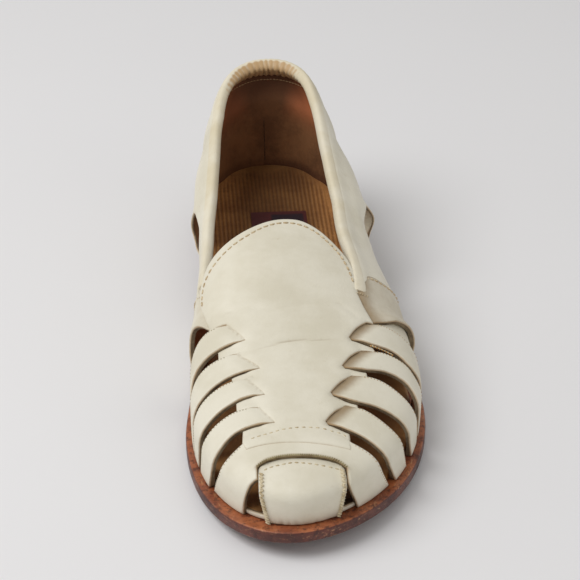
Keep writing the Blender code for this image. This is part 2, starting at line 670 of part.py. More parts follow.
def make_outsole():
    full = plan_loop(lambda ledge: ledge, sole_walk())
    drawn = plan_loop(lambda ledge: ledge - EDGE_ROUND, sole_walk())
    rings = [(drawn, sole_top(drawn[:, 1])), (full, sole_top(full[:, 1]) - EDGE_ROUND),
             (full, sole_bottom(full[:, 1]) + EDGE_ROUND), (drawn, sole_bottom(drawn[:, 1]))]
    bm = slab(rings, sole_top, sole_bottom, 11.0, TREAD)
    return make_object("outsole", bm, (0.36, 0.15, 0.08), 0.45, 50)


def make_heel():
    def top_at(along):
        return sole_bottom(along) - GAP

    def bottom_at(along):
        return TOP_LIFT + GAP + 0 * along

    upper = heel_loop(lambda ledge: ledge)
    share = (TOP_LIFT + GAP) / float(sole_bottom(HEEL_CENTRE))
    lower = heel_loop(lambda ledge: ledge - HEEL_TAPER * (1 - share))
    bm = slab([(upper, top_at(upper[:, 1])), (lower, bottom_at(lower[:, 1]))], top_at, bottom_at)
    return make_object("heel", bm, (0.24, 0.10, 0.06), 0.5, 50)


def make_top_lift():
    def top_at(along):
        return TOP_LIFT + 0 * along

    def bottom_at(along):
        return 0 * along

    share = TOP_LIFT / float(sole_bottom(HEEL_CENTRE))
    upper = heel_loop(lambda ledge: ledge - HEEL_TAPER * (1 - share))
    lower = heel_loop(lambda ledge: ledge - HEEL_TAPER)
    bm = slab([(upper, top_at(upper[:, 1])), (lower, bottom_at(lower[:, 1]))], top_at, bottom_at, 60.0)
    return make_object("top_lift", bm, (0.06, 0.045, 0.04), 0.7, 50)


def make_insole():
    def top_at(along):
        return seat(along) + INSOLE_THICKNESS

    loop = plan_loop(lambda ledge: -0.5, sole_walk())
    bm = slab([(loop, top_at(loop[:, 1])), (loop, seat(loop[:, 1]))], top_at, seat)
    return make_object("insole", bm, (0.42, 0.26, 0.12), 0.6, 50)


def make_collar():
    """Rolled binding on the upper's top edge, from one end of the plug round the heel to the other."""
    outer = topline(1, 0.0, COLLAR_END[1])
    inner = topline(-1, 0.0, COLLAR_END[-1])
    flat = smooth_line(np.vstack([outer[::-1], inner[1:]]), 5.0)
    centre = off_last(flat[:, 0], flat[:, 1], np.full(len(flat), QUARTER / 2)) * MM
    curve = bpy.data.curves.new("collar_path", "CURVE")
    curve.dimensions = "3D"
    curve.bevel_depth = COLLAR_RADIUS * MM
    curve.bevel_resolution = 3
    curve.use_fill_caps = True
    spline = curve.splines.new("POLY")
    spline.points.add(len(centre) - 1)
    for point, spot in zip(spline.points, centre):
        point.co = (*spot, 1.0)
    item = bpy.data.objects.new("collar", curve)
    bpy.context.scene.collection.objects.link(item)
    material = bpy.data.materials.new("collar_leather")
    material.use_nodes = True
    shader = material.node_tree.nodes["Principled BSDF"]
    shader.inputs["Base Color"].default_value = (0.76, 0.68, 0.52, 1.0)
    shader.inputs["Roughness"].default_value = 0.5
    curve.materials.append(material)
    return item


def build():
    for item in list(bpy.data.objects):
        bpy.data.objects.remove(item)
    make_outsole()
    make_heel()
    make_top_lift()
    make_insole()
    make_upper()
    make_collar()


build()
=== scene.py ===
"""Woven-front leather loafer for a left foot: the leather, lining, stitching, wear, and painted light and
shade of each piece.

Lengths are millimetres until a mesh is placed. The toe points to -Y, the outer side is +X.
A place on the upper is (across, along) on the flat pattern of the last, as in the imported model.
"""
import math

import bmesh
import bpy
import numpy as np
from mathutils import Matrix, Vector


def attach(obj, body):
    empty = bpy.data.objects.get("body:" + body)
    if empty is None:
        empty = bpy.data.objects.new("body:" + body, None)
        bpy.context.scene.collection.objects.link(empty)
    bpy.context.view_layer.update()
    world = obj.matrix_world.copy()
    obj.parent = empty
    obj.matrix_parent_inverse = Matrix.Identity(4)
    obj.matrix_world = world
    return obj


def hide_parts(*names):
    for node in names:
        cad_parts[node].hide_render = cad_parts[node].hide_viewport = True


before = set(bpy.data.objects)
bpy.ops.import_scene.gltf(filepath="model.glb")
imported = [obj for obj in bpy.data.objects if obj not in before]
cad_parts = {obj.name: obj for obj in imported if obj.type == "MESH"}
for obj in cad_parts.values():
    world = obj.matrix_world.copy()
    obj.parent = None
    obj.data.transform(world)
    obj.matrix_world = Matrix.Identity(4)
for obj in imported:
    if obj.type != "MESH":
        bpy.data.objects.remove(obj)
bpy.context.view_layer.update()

MM = 0.001

# ---- the last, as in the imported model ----
LENGTH = 273.5
SOLE_THICKNESS = 5.0
GAP = 0.3                                   # clearance between the solids
INSOLE_THICKNESS = 3.0
HEEL_PRINT = 2.5                            # how far the insole is pressed down at the heel
COLLAR_RADIUS = 2.3
COLLAR_SEAT = COLLAR_RADIUS + 2 * GAP       # how far the quarters stop below the topline
HEEL_CENTRE, TOE_CENTRE = 36.0, 195.0       # stations round which the heel and toe sections fan out
HEEL_REACH, TOE_REACH = 34.0, 72.3          # and how far they reach
TOE_LEDGE = 6.2                             # the sole's ledge at the toe
SQUARER = 0.015                             # the ledge is squarer than the last, by this per mm
HEEL_ROUNDNESS = 2.15                       # powers of the rounded outlines in plan; 2 is a true oval
TOE_ROUNDNESS = {-1: 1.95, 1: 1.88}
BACK_UPRIGHT = 4.0                          # the same power in height, at the back of the heel
TOE_SWELL, HEEL_SWELL = 0.8, 0.8            # bulge of the wall over the sole line
SKEW, SKEW_START, SKEW_RUN = 0.18, 110.0, 85.0          # the sections slant from the ball on
ROLL, ROLL_STATIONS = 0.10, (100, 125, 160, 205)        # the vamp slopes down to the outer side
CENTRE_X, CENTRE_Y = -1.55, -0.115          # moves the last to the middle of the model's box
LEVEL_ZONE = 6.0                            # this close to the sole line, outward turns level
LAST_COLUMNS = ("along", "ridge", "inner", "outer", "seat", "rise", "wide",
                "inner_swell", "outer_swell", "full", "ledge")
LAST_ROWS = (
    (8, 0.5, 29.2, 29.0, 22.0, 60.0, 20, 0.8, 0.8, 2.15, 2.5),
    (22, -0.7, 29.0, 28.8, 21.9, 56.0, 20, 0.8, 0.8, 2.15, 2.5),
    (36, -2.0, 28.8, 28.5, 21.5, 51.0, 22, 0.8, 0.8, 2.15, 2.5),
    (65, -3.2, 29.0, 31.5, 19.0, 46.0, 25, 4.0, 4.2, 1.90, 2.5),
    (95, -3.5, 28.5, 34.0, 14.5, 46.0, 22.5, 5.9, 5.5, 2.06, 2.5),
    (120, -3.7, 28.5, 37.0, 10.0, 48.0, 23, 4.0, 2.6, 1.98, 3.0),
    (145, -3.9, 31.5, 42.3, 7.0, 47.8, 17, 3.8, 3.6, 2.10, 3.7),
    (170, -4.0, 35.6, 46.8, 5.3, 41.4, 15, 1.2, 1.4, 2.10, 4.6),
    (195, -4.0, 37.5, 48.6, 5.3, 35.0, 14, 0.2, 0.4, 2.10, 5.2),
    (220, -4.0, 37.5, 48.6, 6.2, 30.0, 13, 0.2, 0.4, 2.10, 5.2),
    (245, -4.0, 37.5, 48.6, 8.5, 25.8, 12, 0.4, 0.6, 2.10, 5.2),
    (268, -4.0, 37.5, 48.6, 12.0, 22.7, 11, 0.6, 0.8, 2.10, 5.2),
)
LAST = {name: np.array([row[i] for row in LAST_ROWS], float) for i, name in enumerate(LAST_COLUMNS)}
TOPLINE_HEEL = ((0, 52.3, 52.3), (20, 50.8, 51.2), (40, 48.3, 49.6), (60, 45.2, 47.3),
                (80, 42.4, 44.8))                                            # angle, inner, outer
TOPLINE_SIDE = ((36, 41.1, 43.4), (43, 39.6, 41.9), (50, 38.8, 41.1), (57, 38.3, 40.6),
                (65, 38.0, 40.3), (80, 37.3, 40.4), (95, 36.2, 40.1), (110, 34.6, 39.7),
                (125, 34.0, 39.3), (140, 33.3, 39.1), (152, 33.3, 38.8))     # along, inner, outer
THROAT_END = {-1: 142.0, 1: 152.0}          # stations where the quarters' top edge and the roll end
COLLAR_END = {-1: 134.5, 1: 147.0}

# ---- flat pattern, (across, along) ----
PLUG_ARCH = ((-38.5, 148), (-36.5, 143), (-31.5, 138), (-25, 135), (-17.5, 132), (-11, 129.4), (-4.5, 127),
             (2, 125.6), (8.5, 125.8), (15, 129.7), (20.5, 136), (25.5, 144), (29, 152), (31, 157))
PLUG_SIDE = {-1: ((-38.5, 156), (-35.5, 164)), 1: ((29.6, 164), (31.6, 172))}
PLUG_FRONT = ((16.6, 250.4), (8, 248.6), (-1, 247.4), (-14, 246.6), (-22.3, 246.6))
SLIT_BOW = {-1: 0.0, 1: -0.9}
PLUG_STEPS = {
    -1: ((-34, 171), (-34, 174), (-30, 185), (-30, 192), (-26.5, 202), (-26.5, 208), (-26, 218.5),
         (-26, 226.5), (-23.8, 234.5), (-23.8, 242.5)),
    1: ((34.5, 180.2), (35, 183), (33, 195), (33, 201), (26.5, 209), (26.5, 215.5), (21.2, 225),
        (21.2, 230.5), (17.3, 240), (17.2, 243)),
}
STRIPS = {                      # rear and front edge of each strip, from its slit to the sole
    1: (
        (((31.5, 181.5), (39, 181.6), (46, 183), (52, 185.6), (58, 189), (74, 196.5)),
         ((23, 192), (32, 195.4), (41, 197.6), (47.2, 202.4), (55, 206.2), (73, 210))),
        (((26.8, 199.2), (36, 200), (44, 203), (49.6, 208.5), (57, 212), (73, 216.5)),
         ((17.1, 207.2), (25, 209.7), (34, 210.2), (42.2, 213.4), (47.8, 219.5), (54, 222.6), (67, 227))),
        (((20.1, 212), (30.3, 214.8), (39, 221), (45, 226), (52, 228.5), (65, 231.5)),
         ((11.9, 220.6), (18, 224.8), (27, 227.8), (35.3, 232), (41, 236.3), (47, 238.6), (58, 241))),
        (((17.2, 226.8), (24.3, 230.9), (32.7, 238.3), (40, 243.3), (55, 249)),
         ((9, 236), (15, 239.7), (21.4, 243.5), (28.8, 249.6), (35, 253.4), (46, 258))),
    ),
    -1: (
        (((-25.3, 175.8), (-34.5, 173.2), (-43, 173.6), (-52, 177), (-69, 181)),
         ((-18.3, 187.3), (-28.5, 186.3), (-40, 186.4), (-47, 189), (-55, 193), (-69, 197))),
        (((-22, 192.2), (-30, 191.0), (-39, 190.8), (-48, 194), (-56, 198), (-69, 202)),
         ((-14.7, 204.6), (-25, 203.6), (-34, 204.4), (-43, 207), (-52, 211), (-67, 216))),
        (((-21.2, 207.9), (-30, 206.7), (-39.5, 208.4), (-48, 212.5), (-67, 219)),
         ((-13.5, 220.2), (-22.2, 219.1), (-31.5, 220.8), (-40, 223.9), (-48, 227.5), (-63, 231))),
        (((-16.7, 226), (-26, 225.2), (-34, 226.9), (-41, 230), (-48, 232.8), (-62, 236)),
         ((-10.2, 235.7), (-19.7, 235.5), (-27.6, 237), (-35.8, 242.6), (-43, 246.5), (-56, 251))),
    ),
}
QUARTER_FRONT = {-1: ((-34, 171), (-39, 165), (-47, 160.5), (-56, 162), (-63, 169), (-71, 175)),
                 1: ((34.5, 180.2), (40, 179), (47, 175), (55, 171.5), (63, 172.5), (70, 177), (80, 185))}
BAND_OUTER = {-1: ((-23.8, 242.5), (-29, 245.5), (-36, 248.8), (-43, 251), (-53, 256)),
              1: ((17.5, 246.2), (23.4, 250.1), (27.5, 253.6), (33, 257), (42, 261))}
BAND_INNER = ((14.3, 258.6), (11, 256), (5, 254.4), (-2, 253.8), (-9, 253.6), (-15, 254.4), (-18.2, 256.2))
TAB_SIDE = {-1: ((-18.2, 256.2), (-18.2, 272), (-18.4, 292)), 1: ((14.3, 258.6), (14.2, 270), (14.8, 292))}
TOE_HOLE = {-1: ((-18.2, 260.8), (-21, 261.6), (-24.5, 265), (-27.3, 269.5), (-29.3, 274.8), (-31, 282)),
            1: ((14.3, 263.2), (16.4, 266.4), (19, 269.6), (21.4, 273), (23.4, 277.6), (25, 286))}
SEAM = {-1: ((-38.5, 148), (-45, 143), (-54, 137), (-72, 132), (-88, 129)),
        1: ((31, 157), (34, 152.5), (38, 149.6), (45, 148.4), (56, 145), (74, 139.5), (88, 136))}
SEAM_STITCHES = {-1: ((-38.5, 150.5), (-45, 145.4), (-54, 139.4), (-72, 134.4), (-88, 131.4)),
                 1: ((33.4, 154.4), (37.8, 151.6), (44.6, 150.4), (56, 147.2), (74, 141.8), (88, 138.3))}
ARCH_STITCHES = ((-36.3, 158.0), (-36.1, 152.5), (-34.2, 147.8), (-31.0, 144.6), (-26.5, 141.8), (-20, 138.2),
                 (-13.4, 134.8), (-7, 131.2), (-0.2, 128.9), (5.8, 128.7), (12.2, 131.2), (17.8, 136.9),
                 (22.6, 144.4), (26.2, 152.7), (27.8, 158.8))
FRONT_STITCHES = ((-20.5, 242.2), (-13, 241.2), (-7.2, 240.4), (-0.9, 239.9), (4.6, 240.1), (9.8, 240.8),
                  (14.8, 242), (15.9, 243.6))
TAB_STITCHES = ((-16.3, 258.1), (-12.4, 257.1), (-8.8, 256.9), (-4.6, 256.4), (-0.6, 256.9), (3.7, 257.6),
                (8.1, 258.5), (12.3, 259.3))
HEEL_SEAM = ((-2.5, -26), (-2.5, -47))
LAP_END_FIBRES = ((28.6, 164.2), (31, 164.3), (34, 164.5))
CRUMBS = ((30.5, 196.4), (33.5, 197.4), (37.5, 199.0), (40, 200.0))       # suede crumbs in the second slit
UNDERLAY = (((33.5, 177), (40, 172), (47, 167.5), (55, 164.5), (63, 165.5), (74, 171)),
            ((32.5, 184.8), (42, 185.3), (50, 185.6), (57, 184), (64, 181), (74, 180)))
COLLAR_LAP = ((30.0, 162.4), (30.2, 157.0))     # the roll's end, which laps the plug
COLLAR_TUCK = 11.0                              # how far its inner end runs on under the plug
SLOT_CENTRE, SLOT_HALF, SLOT_SQUARE = (94.5, 20.0), (11.0, 8.0), 2.6     # (along, above the sole line)

# ---- outer face of each piece above the last, and its form ----
QUARTER, QUARTER_LAP, PLUG, BAND, TAB, STRIP = 1.6, 2.1, 2.6, 2.0, 1.4, 2.8
TAB_ROOT = 0.62         # the tab where it comes from under the toe band
SWELL = 1.3             # how far the quarters rise to the roll
LIP = {-1: 1.8, 1: 5.4}                 # how far the edge behind a waist slot stands off
DENT = {-1: 1.0, 1: 2.2}                # how far the leather ahead of a waist slot sinks
FRONT_LIP = {-1: 1.4, 1: 2.6}           # how far a quarter's front edge stands off
LEAN = {-1: (1.3, 92), 1: (2.9, 98)}    # how far the waist leans over the foot, and at which station
HEEL_PADDING = 4.6      # thickness that the padding adds inside the heel
HEEL_FOLD = 4.6         # how far the roll's lower fold reaches down at the heel
LEATHER = 1.3           # thickness of a single layer

# ---- insole, patch, room and camera ----
RIB, RIB_DEPTH = 1.9, 0.4       # pitch and depth of the insole's ribs
WAIST_EASE = 1.7                # how much wider the insole lies at the waist than the last
PATCH_CENTRE, PATCH_HALF = (0.3, 61.5), (12.7, 10.3)
PANEL_ACROSS, PANEL_ALONG = (-3.2, 11.2), (54.0, 69.5)      # the panel set into the patch
# room and camera, in metres
CAMERA_SPOT, CAMERA_TARGET, LENS = (-0.05155, -0.660115, 0.435), (-0.002, 0.002, 0.030), 115.0
LAMPS = (("key", (-0.9, -0.2, 1.35), 1.2, 14.8), ("fill", (1.2, -0.9, 1.0), 1.4, 2))    # size, power
LAMP_TARGET = (0, 0, 0.03)

# ---- meshing ----
EDGE_STEP = 1.5         # spacing of points along a cut edge
EDGE_ROUND = 0.9        # rounding of the outsole's edges
CUT_ROUND = 0.7         # rounding of a cut edge
EDGE_WEAR = 0.9         # how far its wear reaches in
RIM_RINGS = (0.3, 0.5)  # rings of faces that carry it
ARCH_POINTS, TUCK_POINTS = 181, 21      # points of a section down to its widest, and below it
SIDES = ((-1, "inner"), (1, "outer"))


def ramp(x, start, run):
    """From 0 at the start to 1 a run further on; a run below 0 goes the other way."""
    return np.clip((x - start) / run, 0, 1)


def ease(t):
    return t * t * (3 - 2 * t)


def bell(x, width, power=2):
    return np.exp(-((x / width) ** power))


def hermite(t, first, leave, second, enter):
    """Curve from the first value to the second, with its slopes there."""
    return ((2 * t**3 - 3 * t**2 + 1) * first + (t**3 - 2 * t**2 + t) * leave
            + (3 * t**2 - 2 * t**3) * second + (t**3 - t**2) * enter)


def column(name, along):
    """Smooth, never overshooting curve through one column of the last's table."""
    x, y = LAST["along"], LAST[name]
    rise = np.diff(y) / np.diff(x)
    product = rise[1:] * rise[:-1]
    slope = np.concatenate([rise[:1], np.zeros(len(x) - 2), rise[-1:]])
    same = product > 0
    slope[1:-1][same] = 2 * product[same] / (rise[1:] + rise[:-1])[same]
    along = np.asarray(along, float)
    i = np.clip(np.searchsorted(x, along) - 1, 0, len(x) - 2)
    step = x[i + 1] - x[i]
    t = np.clip((along - x[i]) / step, 0, 1)
    within = hermite(t, y[i], step * slope[i], y[i + 1], step * slope[i + 1])
    return within + np.minimum(along - x[0], 0) * slope[0] + np.maximum(along - x[-1], 0) * slope[-1]


def side_column(name, along, side):
    return np.where(side < 0, column("inner" + name, along), column("outer" + name, along))


def ridge_at(along):
    return column("ridge", np.clip(along, HEEL_CENTRE, TOE_CENTRE))


def plan_reach(angle, width, front, roundness):
    return ((np.abs(np.sin(angle)) / width) ** roundness
            + (np.abs(np.cos(angle)) / front) ** roundness) ** (-1 / roundness)


def place(across, along, height, ridge):
    """Point in the model's frame from a plan position and a height."""
    y = LENGTH / 2 + CENTRE_Y - along + SKEW * ease(ramp(along, SKEW_START, SKEW_RUN)) * (across - ridge)
    return np.stack([across + CENTRE_X, y, height], -1)


def sections(kind, value, side):
    """Half sections of the last, ridge to sole line: kind 0 at a station, 1 toe fan, 2 heel fan."""
    kind, value, side = np.asarray(kind), np.asarray(value, float), np.asarray(side)
    base = np.where(kind == 0, value, np.where(kind == 1, TOE_CENTRE, HEEL_CENTRE))
    angle = np.where(kind == 0, math.pi / 2, value)
    sine, cosine = np.sin(angle), np.cos(angle)
    width = side_column("", base, side)
    round_toe = np.where(side < 0, TOE_ROUNDNESS[-1], TOE_ROUNDNESS[1])
    toe = plan_reach(angle, width, TOE_REACH, round_toe)
    heel = plan_reach(angle, width, HEEL_REACH, HEEL_ROUNDNESS)
    reach = np.where(kind == 0, width, np.where(kind == 1, toe, heel))
    swell = side_column("_swell", base, side)
    swell = swell * sine**2 + np.where(kind == 1, TOE_SWELL, HEEL_SWELL) * cosine**2
    full = column("full", base)
    full = np.where(kind == 2, full + (BACK_UPRIGHT - full) * cosine**4, full)[:, None]
    turn = np.linspace(0, math.pi / 2, ARCH_POINTS)[None]
    out = np.sin(turn) ** (2 / full)
    up = np.abs(np.cos(turn)) ** (2 / full)
    tuck = np.linspace(0, 1, TUCK_POINTS)[None, 1:]
    wide = (reach + swell)[:, None]
    plan = np.concatenate([wide * out, wide - swell[:, None] * tuck**2], 1)
    forward = np.where(kind == 0, 0, np.where(kind == 1, cosine, -cosine))[:, None]
    along = base[:, None] + forward * plan
    ridge = column("ridge", base)[:, None]
    across = ridge + (side * sine)[:, None] * plan
    widest = column("wide", along)
    top = ARCH_POINTS
    height = np.concatenate([widest[:, :top] + (column("rise", along[:, :top]) - widest[:, :top]) * up,
                             widest[:, top:] * (1 - tuck)], 1)
    roll = ROLL * np.interp(along, ROLL_STATIONS, (0, 1, 1, 0))
    lean = np.concatenate([1 - (1 - up) ** 2 + 0 * plan[:, :top], 0 * plan[:, top:]], 1)
    height = height + column("seat", along) - roll * (across - ridge) * lean
    return place(across, along, height, ridge)


def flat_to_section(across, along):
    side = np.where(across < 0, -1, 1)
    kind = np.where(along > TOE_CENTRE, 1, np.where(along < HEEL_CENTRE, 2, 0))
    run = np.where(kind == 1, along - TOE_CENTRE, np.where(kind == 2, HEEL_CENTRE - along, 0))
    value = np.where(kind == 0, along, np.arctan2(np.abs(across), run))
    return kind, value, side, np.hypot(across, run)


def section_lengths(curves):
    steps = np.linalg.norm(np.diff(curves, axis=1), axis=2)
    return np.concatenate([np.zeros((len(curves), 1)), np.cumsum(steps, 1)], 1)


def on_last(across, along):
    """Points on the last from flat pattern places, and their distance above the sole line."""
    across, along = np.atleast_1d(across).astype(float), np.atleast_1d(along).astype(float)
    points, above = np.empty((len(across), 3)), np.empty(len(across))
    for first in range(0, len(across), 4000):
        part = slice(first, first + 4000)
        kind, value, side, distance = flat_to_section(across[part], along[part])
        curves = sections(kind, value, side)
        lengths = section_lengths(curves)
        k = np.clip((lengths < distance[:, None]).sum(1) - 1, 1, lengths.shape[1] - 3)
        row = np.arange(len(k))
        p = [curves[row, k + j] for j in (-1, 0, 1, 2)]
        s = [lengths[row, k + j][:, None] for j in (-1, 0, 1, 2)]
        step = s[2] - s[1]
        t = np.clip((distance[:, None] - s[1]) / step, -1, 1)
        leave = (p[2] - p[0]) / (s[2] - s[0]) * step
        enter = (p[3] - p[1]) / (s[3] - s[1]) * step
        curve = hermite(t, p[1], leave, p[2], enter)
        end = lengths[:, -1:]
        final = (curves[:, -1] - curves[:, -2]) / (lengths[:, -1] - lengths[:, -2])[:, None]
        past = distance[:, None] - end
        points[part] = np.where(distance[:, None] > s[2], curves[:, -1] + final * past, curve)
        above[part] = -past[:, 0]
    return points, above


def normals_at(across, along, above):
    """Outward directions of the last; near the sole line they are level."""
    step = 0.5
    side_way = on_last(across + step, along)[0] - on_last(across - step, along)[0]
    long_way = on_last(across, along + step)[0] - on_last(across, along - step)[0]
    normal = np.cross(long_way, side_way)
    normal[:, 2] *= 1 - ease(ramp(above, LEVEL_ZONE, -LEVEL_ZONE))
    return normal / np.linalg.norm(normal, axis=1)[:, None]


def off_last(across, along, offset):
    """Points at an offset outside the last."""
    across, along = np.atleast_1d(across).astype(float), np.atleast_1d(along).astype(float)
    points, above = on_last(across, along)
    normal = normals_at(across, along, above)
    return points + normal * np.asarray(offset, float).reshape(-1, 1)


def over_sole(flat):
    """Distance of flat places above the sole line."""
    return on_last(*flat.T)[1]


def flat_at(kind, value, side, above):
    """Flat pattern place of a point at a distance above the sole line on one section."""
    length = section_lengths(sections([kind], [value], [side]))[0, -1] - above
    if kind == 0:
        return side * length, value
    forward = length * math.cos(value)
    return side * length * math.sin(value), TOE_CENTRE + forward if kind == 1 else HEEL_CENTRE - forward


def smooth_line(points, step=EDGE_STEP):
    """Evenly spaced points on a smooth curve through the given ones."""
    points = np.asarray(points, float)
    if len(points) > 2:
        ends = np.vstack([2 * points[0] - points[1], points, 2 * points[-1] - points[-2]])
        t = np.linspace(0, 1, 9)[:-1, None]
        runs = [0.5 * (2 * b + (c - a) * t + (2 * a - 5 * b + 4 * c - d) * t**2
                       + (3 * b - a - 3 * c + d) * t**3)
                for a, b, c, d in zip(ends[:-3], ends[1:-2], ends[2:-1], ends[3:])]
        points = np.vstack(runs + [points[-1:]])
    return even(points, step)


def even(points, step):
    """The same line with evenly spaced points."""
    length = np.concatenate([[0], np.cumsum(np.linalg.norm(np.diff(points, axis=0), axis=1))])
    count = max(int(round(length[-1] / step)), 1) + 1
    at = np.linspace(0, length[-1], count)
    return np.stack([np.interp(at, length, points[:, k]) for k in range(points.shape[1])], -1)


def eased(line, rounds):
    """The same evenly spaced line with its small waves taken out; its ends stay."""
    for _ in range(rounds):
        line = np.vstack([line[:1], (line[:-2] + 2 * line[1:-1] + line[2:]) / 4, line[-1:]])
    return line


def nearest(points, line):
    """Distance of each point to a line, and the share of the line's points where it is nearest."""
    best, share = np.full(len(points), 1e9), np.zeros(len(points))
    for k, (a, b) in enumerate(zip(line[:-1], line[1:])):
        span = b - a
        t = np.clip(((points - a) @ span) / max(span @ span, 1e-9), 0, 1)
        gap = np.linalg.norm(points - a - t[:, None] * span, axis=1)
        closer = gap < best
        best[closer] = gap[closer]
        share[closer] = (k + t[closer])
    return best, share


def inside(points, polygon):
    x, y = np.asarray(points, float).T
    hit = np.zeros(len(x), bool)
    for (x0, y0), (x1, y1) in zip(polygon, np.roll(polygon, -1, axis=0)):
        if y0 != y1:
            cross = (y0 > y) != (y1 > y)
            hit ^= cross & (x < (x1 - x0) * (y - y0) / (y1 - y0) + x0)
    return hit


def walk_round(toe_step, step):
    """Sections once round the foot: the outer side from toe to heel, the inner side back to the toe."""
    walk = [(1, math.radians(a), 1) for a in np.arange(0, 90, toe_step)]
    walk += [(0, u, 1) for u in np.arange(TOE_CENTRE, HEEL_CENTRE, -step)]
    walk += [(2, math.radians(a), 1) for a in np.arange(90, -0.1, -3.0)]
    return walk + [(kind, value, -1) for kind, value, _ in walk[-2::-1]]


# the sole line on the pattern, once round
FEATHER = even(np.array([flat_at(*section, 0) for section in walk_round(2.0, 2.0)]), 1.0)


def to_sole(line):
    """Cuts a line where it crosses the sole line."""
    line = np.asarray(line, float)
    above = over_sole(line)
    k = int(np.argmax(above < 0)) if (above < 0).any() else len(line)
    if k == len(line) or k == 0:
        return line
    t = above[k - 1] / (above[k - 1] - above[k])
    return np.vstack([line[:k], line[k - 1] + (line[k] - line[k - 1]) * t])


def lasted(points):
    """Smooth line through the points, down to the sole line."""
    return to_sole(smooth_line(points))


def along_sole(start, end):
    """Points on the sole line from one place to another, the short way."""
    first = int(np.linalg.norm(FEATHER - start, axis=1).argmin())
    last = int(np.linalg.norm(FEATHER - end, axis=1).argmin())
    count = len(FEATHER) - 1
    ahead = (last - first) % count
    if ahead <= count - ahead:
        picks = [(first + k) % count for k in range(ahead + 1)]
    else:
        picks = [(first - k) % count for k in range(count - ahead + 1)]
    line = np.vstack([[start], FEATHER[picks][1:-1], [end]])
    return even(line, EDGE_STEP)


def closed(line):
    return np.vstack([line, line[:1]])


def joined(*lines):
    """One closed outline from lines laid end to end, without doubled points."""
    points = np.vstack(lines)
    gap = np.linalg.norm(points - np.roll(points, 1, axis=0), axis=1)
    return points[gap > 0.05]


# ---- colour and nodes ----
SOFT = "SMOOTHSTEP"


def colour(text):
    """Linear colour from an sRGB hex value."""
    parts = [int(text[k:k + 2], 16) / 255 for k in (1, 3, 5)]
    return (*[c / 12.92 if c <= 0.04045 else ((c + 0.055) / 1.055) ** 2.4 for c in parts], 1.0)


def add(tree, kind, sockets=(), out=0, **settings):
    """Adds a node with its settings; sockets holds values, hex colours or outputs to link, by input."""
    node = tree.nodes.new("ShaderNode" + kind)
    for name, value in settings.items():
        setattr(node, name, value)
    for name, value in dict(sockets).items():
        if isinstance(value, bpy.types.NodeSocket):
            tree.links.new(value, node.inputs[name])
        else:
            node.inputs[name].default_value = colour(value) if isinstance(value, str) else value
    return node.outputs[out] if node.outputs else None


def new_material(name):
    """Empty material, its tree and the place on the object in metres."""
    material = bpy.data.materials.new(name)
    material.use_nodes = True
    material.node_tree.nodes.clear()
    return material, material.node_tree, add(material.node_tree, "TexCoord", out="Object")


def tinted(tree, base, source, low, high, tint, amount=1.0, curve=SOFT):
    """Lays a tint over the base where the source rises from low to high.

    The source may be a sum, given as (texture, its weight, what is added).
    """
    if isinstance(source, tuple):
        source = add(tree, "Math", dict(enumerate(source)), operation="MULTIPLY_ADD")
    share = add(tree, "MapRange", {0: source, 1: low, 2: high, 4: amount}, interpolation_type=curve)
    return add(tree, "Mix", {0: share, 6: base, 7: tint}, 2, data_type="RGBA")


def surface(material, base, rough, ior, bump=None, **bump_settings):
    """Ends a material; bump is (strength, depth in metres, height)."""
    tree = material.node_tree
    ends = {"Base Color": base, "Roughness": rough, "IOR": ior}
    if bump:
        ends["Normal"] = add(tree, "Bump", zip(("Strength", "Distance", "Height"), bump), **bump_settings)
    add(tree, "OutputMaterial", {"Surface": add(tree, "BsdfPrincipled", ends)})
    return material


def upper_leather(name, lit, deep, edge):
    """Calf, drum dyed and aniline finished: soft sheen, fine pores, creases and edges that hold dirt, and
    painted shade carried by the crease value.
    """
    material, tree, where = new_material(name)
    rim = add(tree, "Attribute", out="Fac", attribute_name="rim")
    crease = add(tree, "Attribute", out="Fac", attribute_name="crease")
    cloud = add(tree, "TexNoise", {"Vector": where, "Scale": 1000 / 26, "Detail": 4.0, "Roughness": 0.6})
    spots = add(tree, "TexNoise", {"Vector": where, "Scale": 1000 / 5, "Detail": 5.0, "Roughness": 0.7})
    base = tinted(tree, lit, cloud, 0.35, 0.7, deep)
    base = tinted(tree, base, spots, 0.62, 0.8, "#B9A57E", 0.3)
    # The crease value tints it dirty tan: dirt in creases, and painted shade where the strips leave their
    # slits, on the outer quarter front and on the collar roll's underside.
    base = tinted(tree, base, (spots, 0.3, crease), 0.26, 1.15, "#97805F")
    base = tinted(tree, base, (spots, 0.5, rim), 0.75, 1.25, edge, 0.85)
    pores = add(tree, "TexVoronoi", {"Vector": where, "Scale": 1000 / 0.9})
    wrinkle = add(tree, "TexNoise", {"Vector": where, "Scale": 1000 / 3.2, "Detail": 4.0, "Roughness": 0.6})
    height = add(tree, "Math", {0: pores, 1: 0.35, 2: wrinkle}, operation="MULTIPLY_ADD")
    rough = add(tree, "MapRange", {0: cloud, 1: 0.3, 2: 0.75, 3: 0.44, 4: 0.6})
    return surface(material, base, rough, 1.5, (0.3, 0.0004, height))


def cut_edge_leather():
    """Cut edge of calf: matt, fibrous, uneven."""
    material, tree, where = new_material("upper_leather_cut_edge")
    cloud = add(tree, "TexNoise", {"Vector": where, "Scale": 1000 / 7.2, "Detail": 4.0, "Roughness": 0.6})
    fibre = add(tree, "TexNoise", {"Vector": where, "Scale": 1000 / 0.8, "Detail": 5.0, "Roughness": 0.75})
    base = tinted(tree, "#8A795F", (fibre, 0.4, cloud), 0.5, 0.9, "#5C4B36")
    return surface(material, base, 0.85, 1.45, (0.5, 0.0003, fibre))


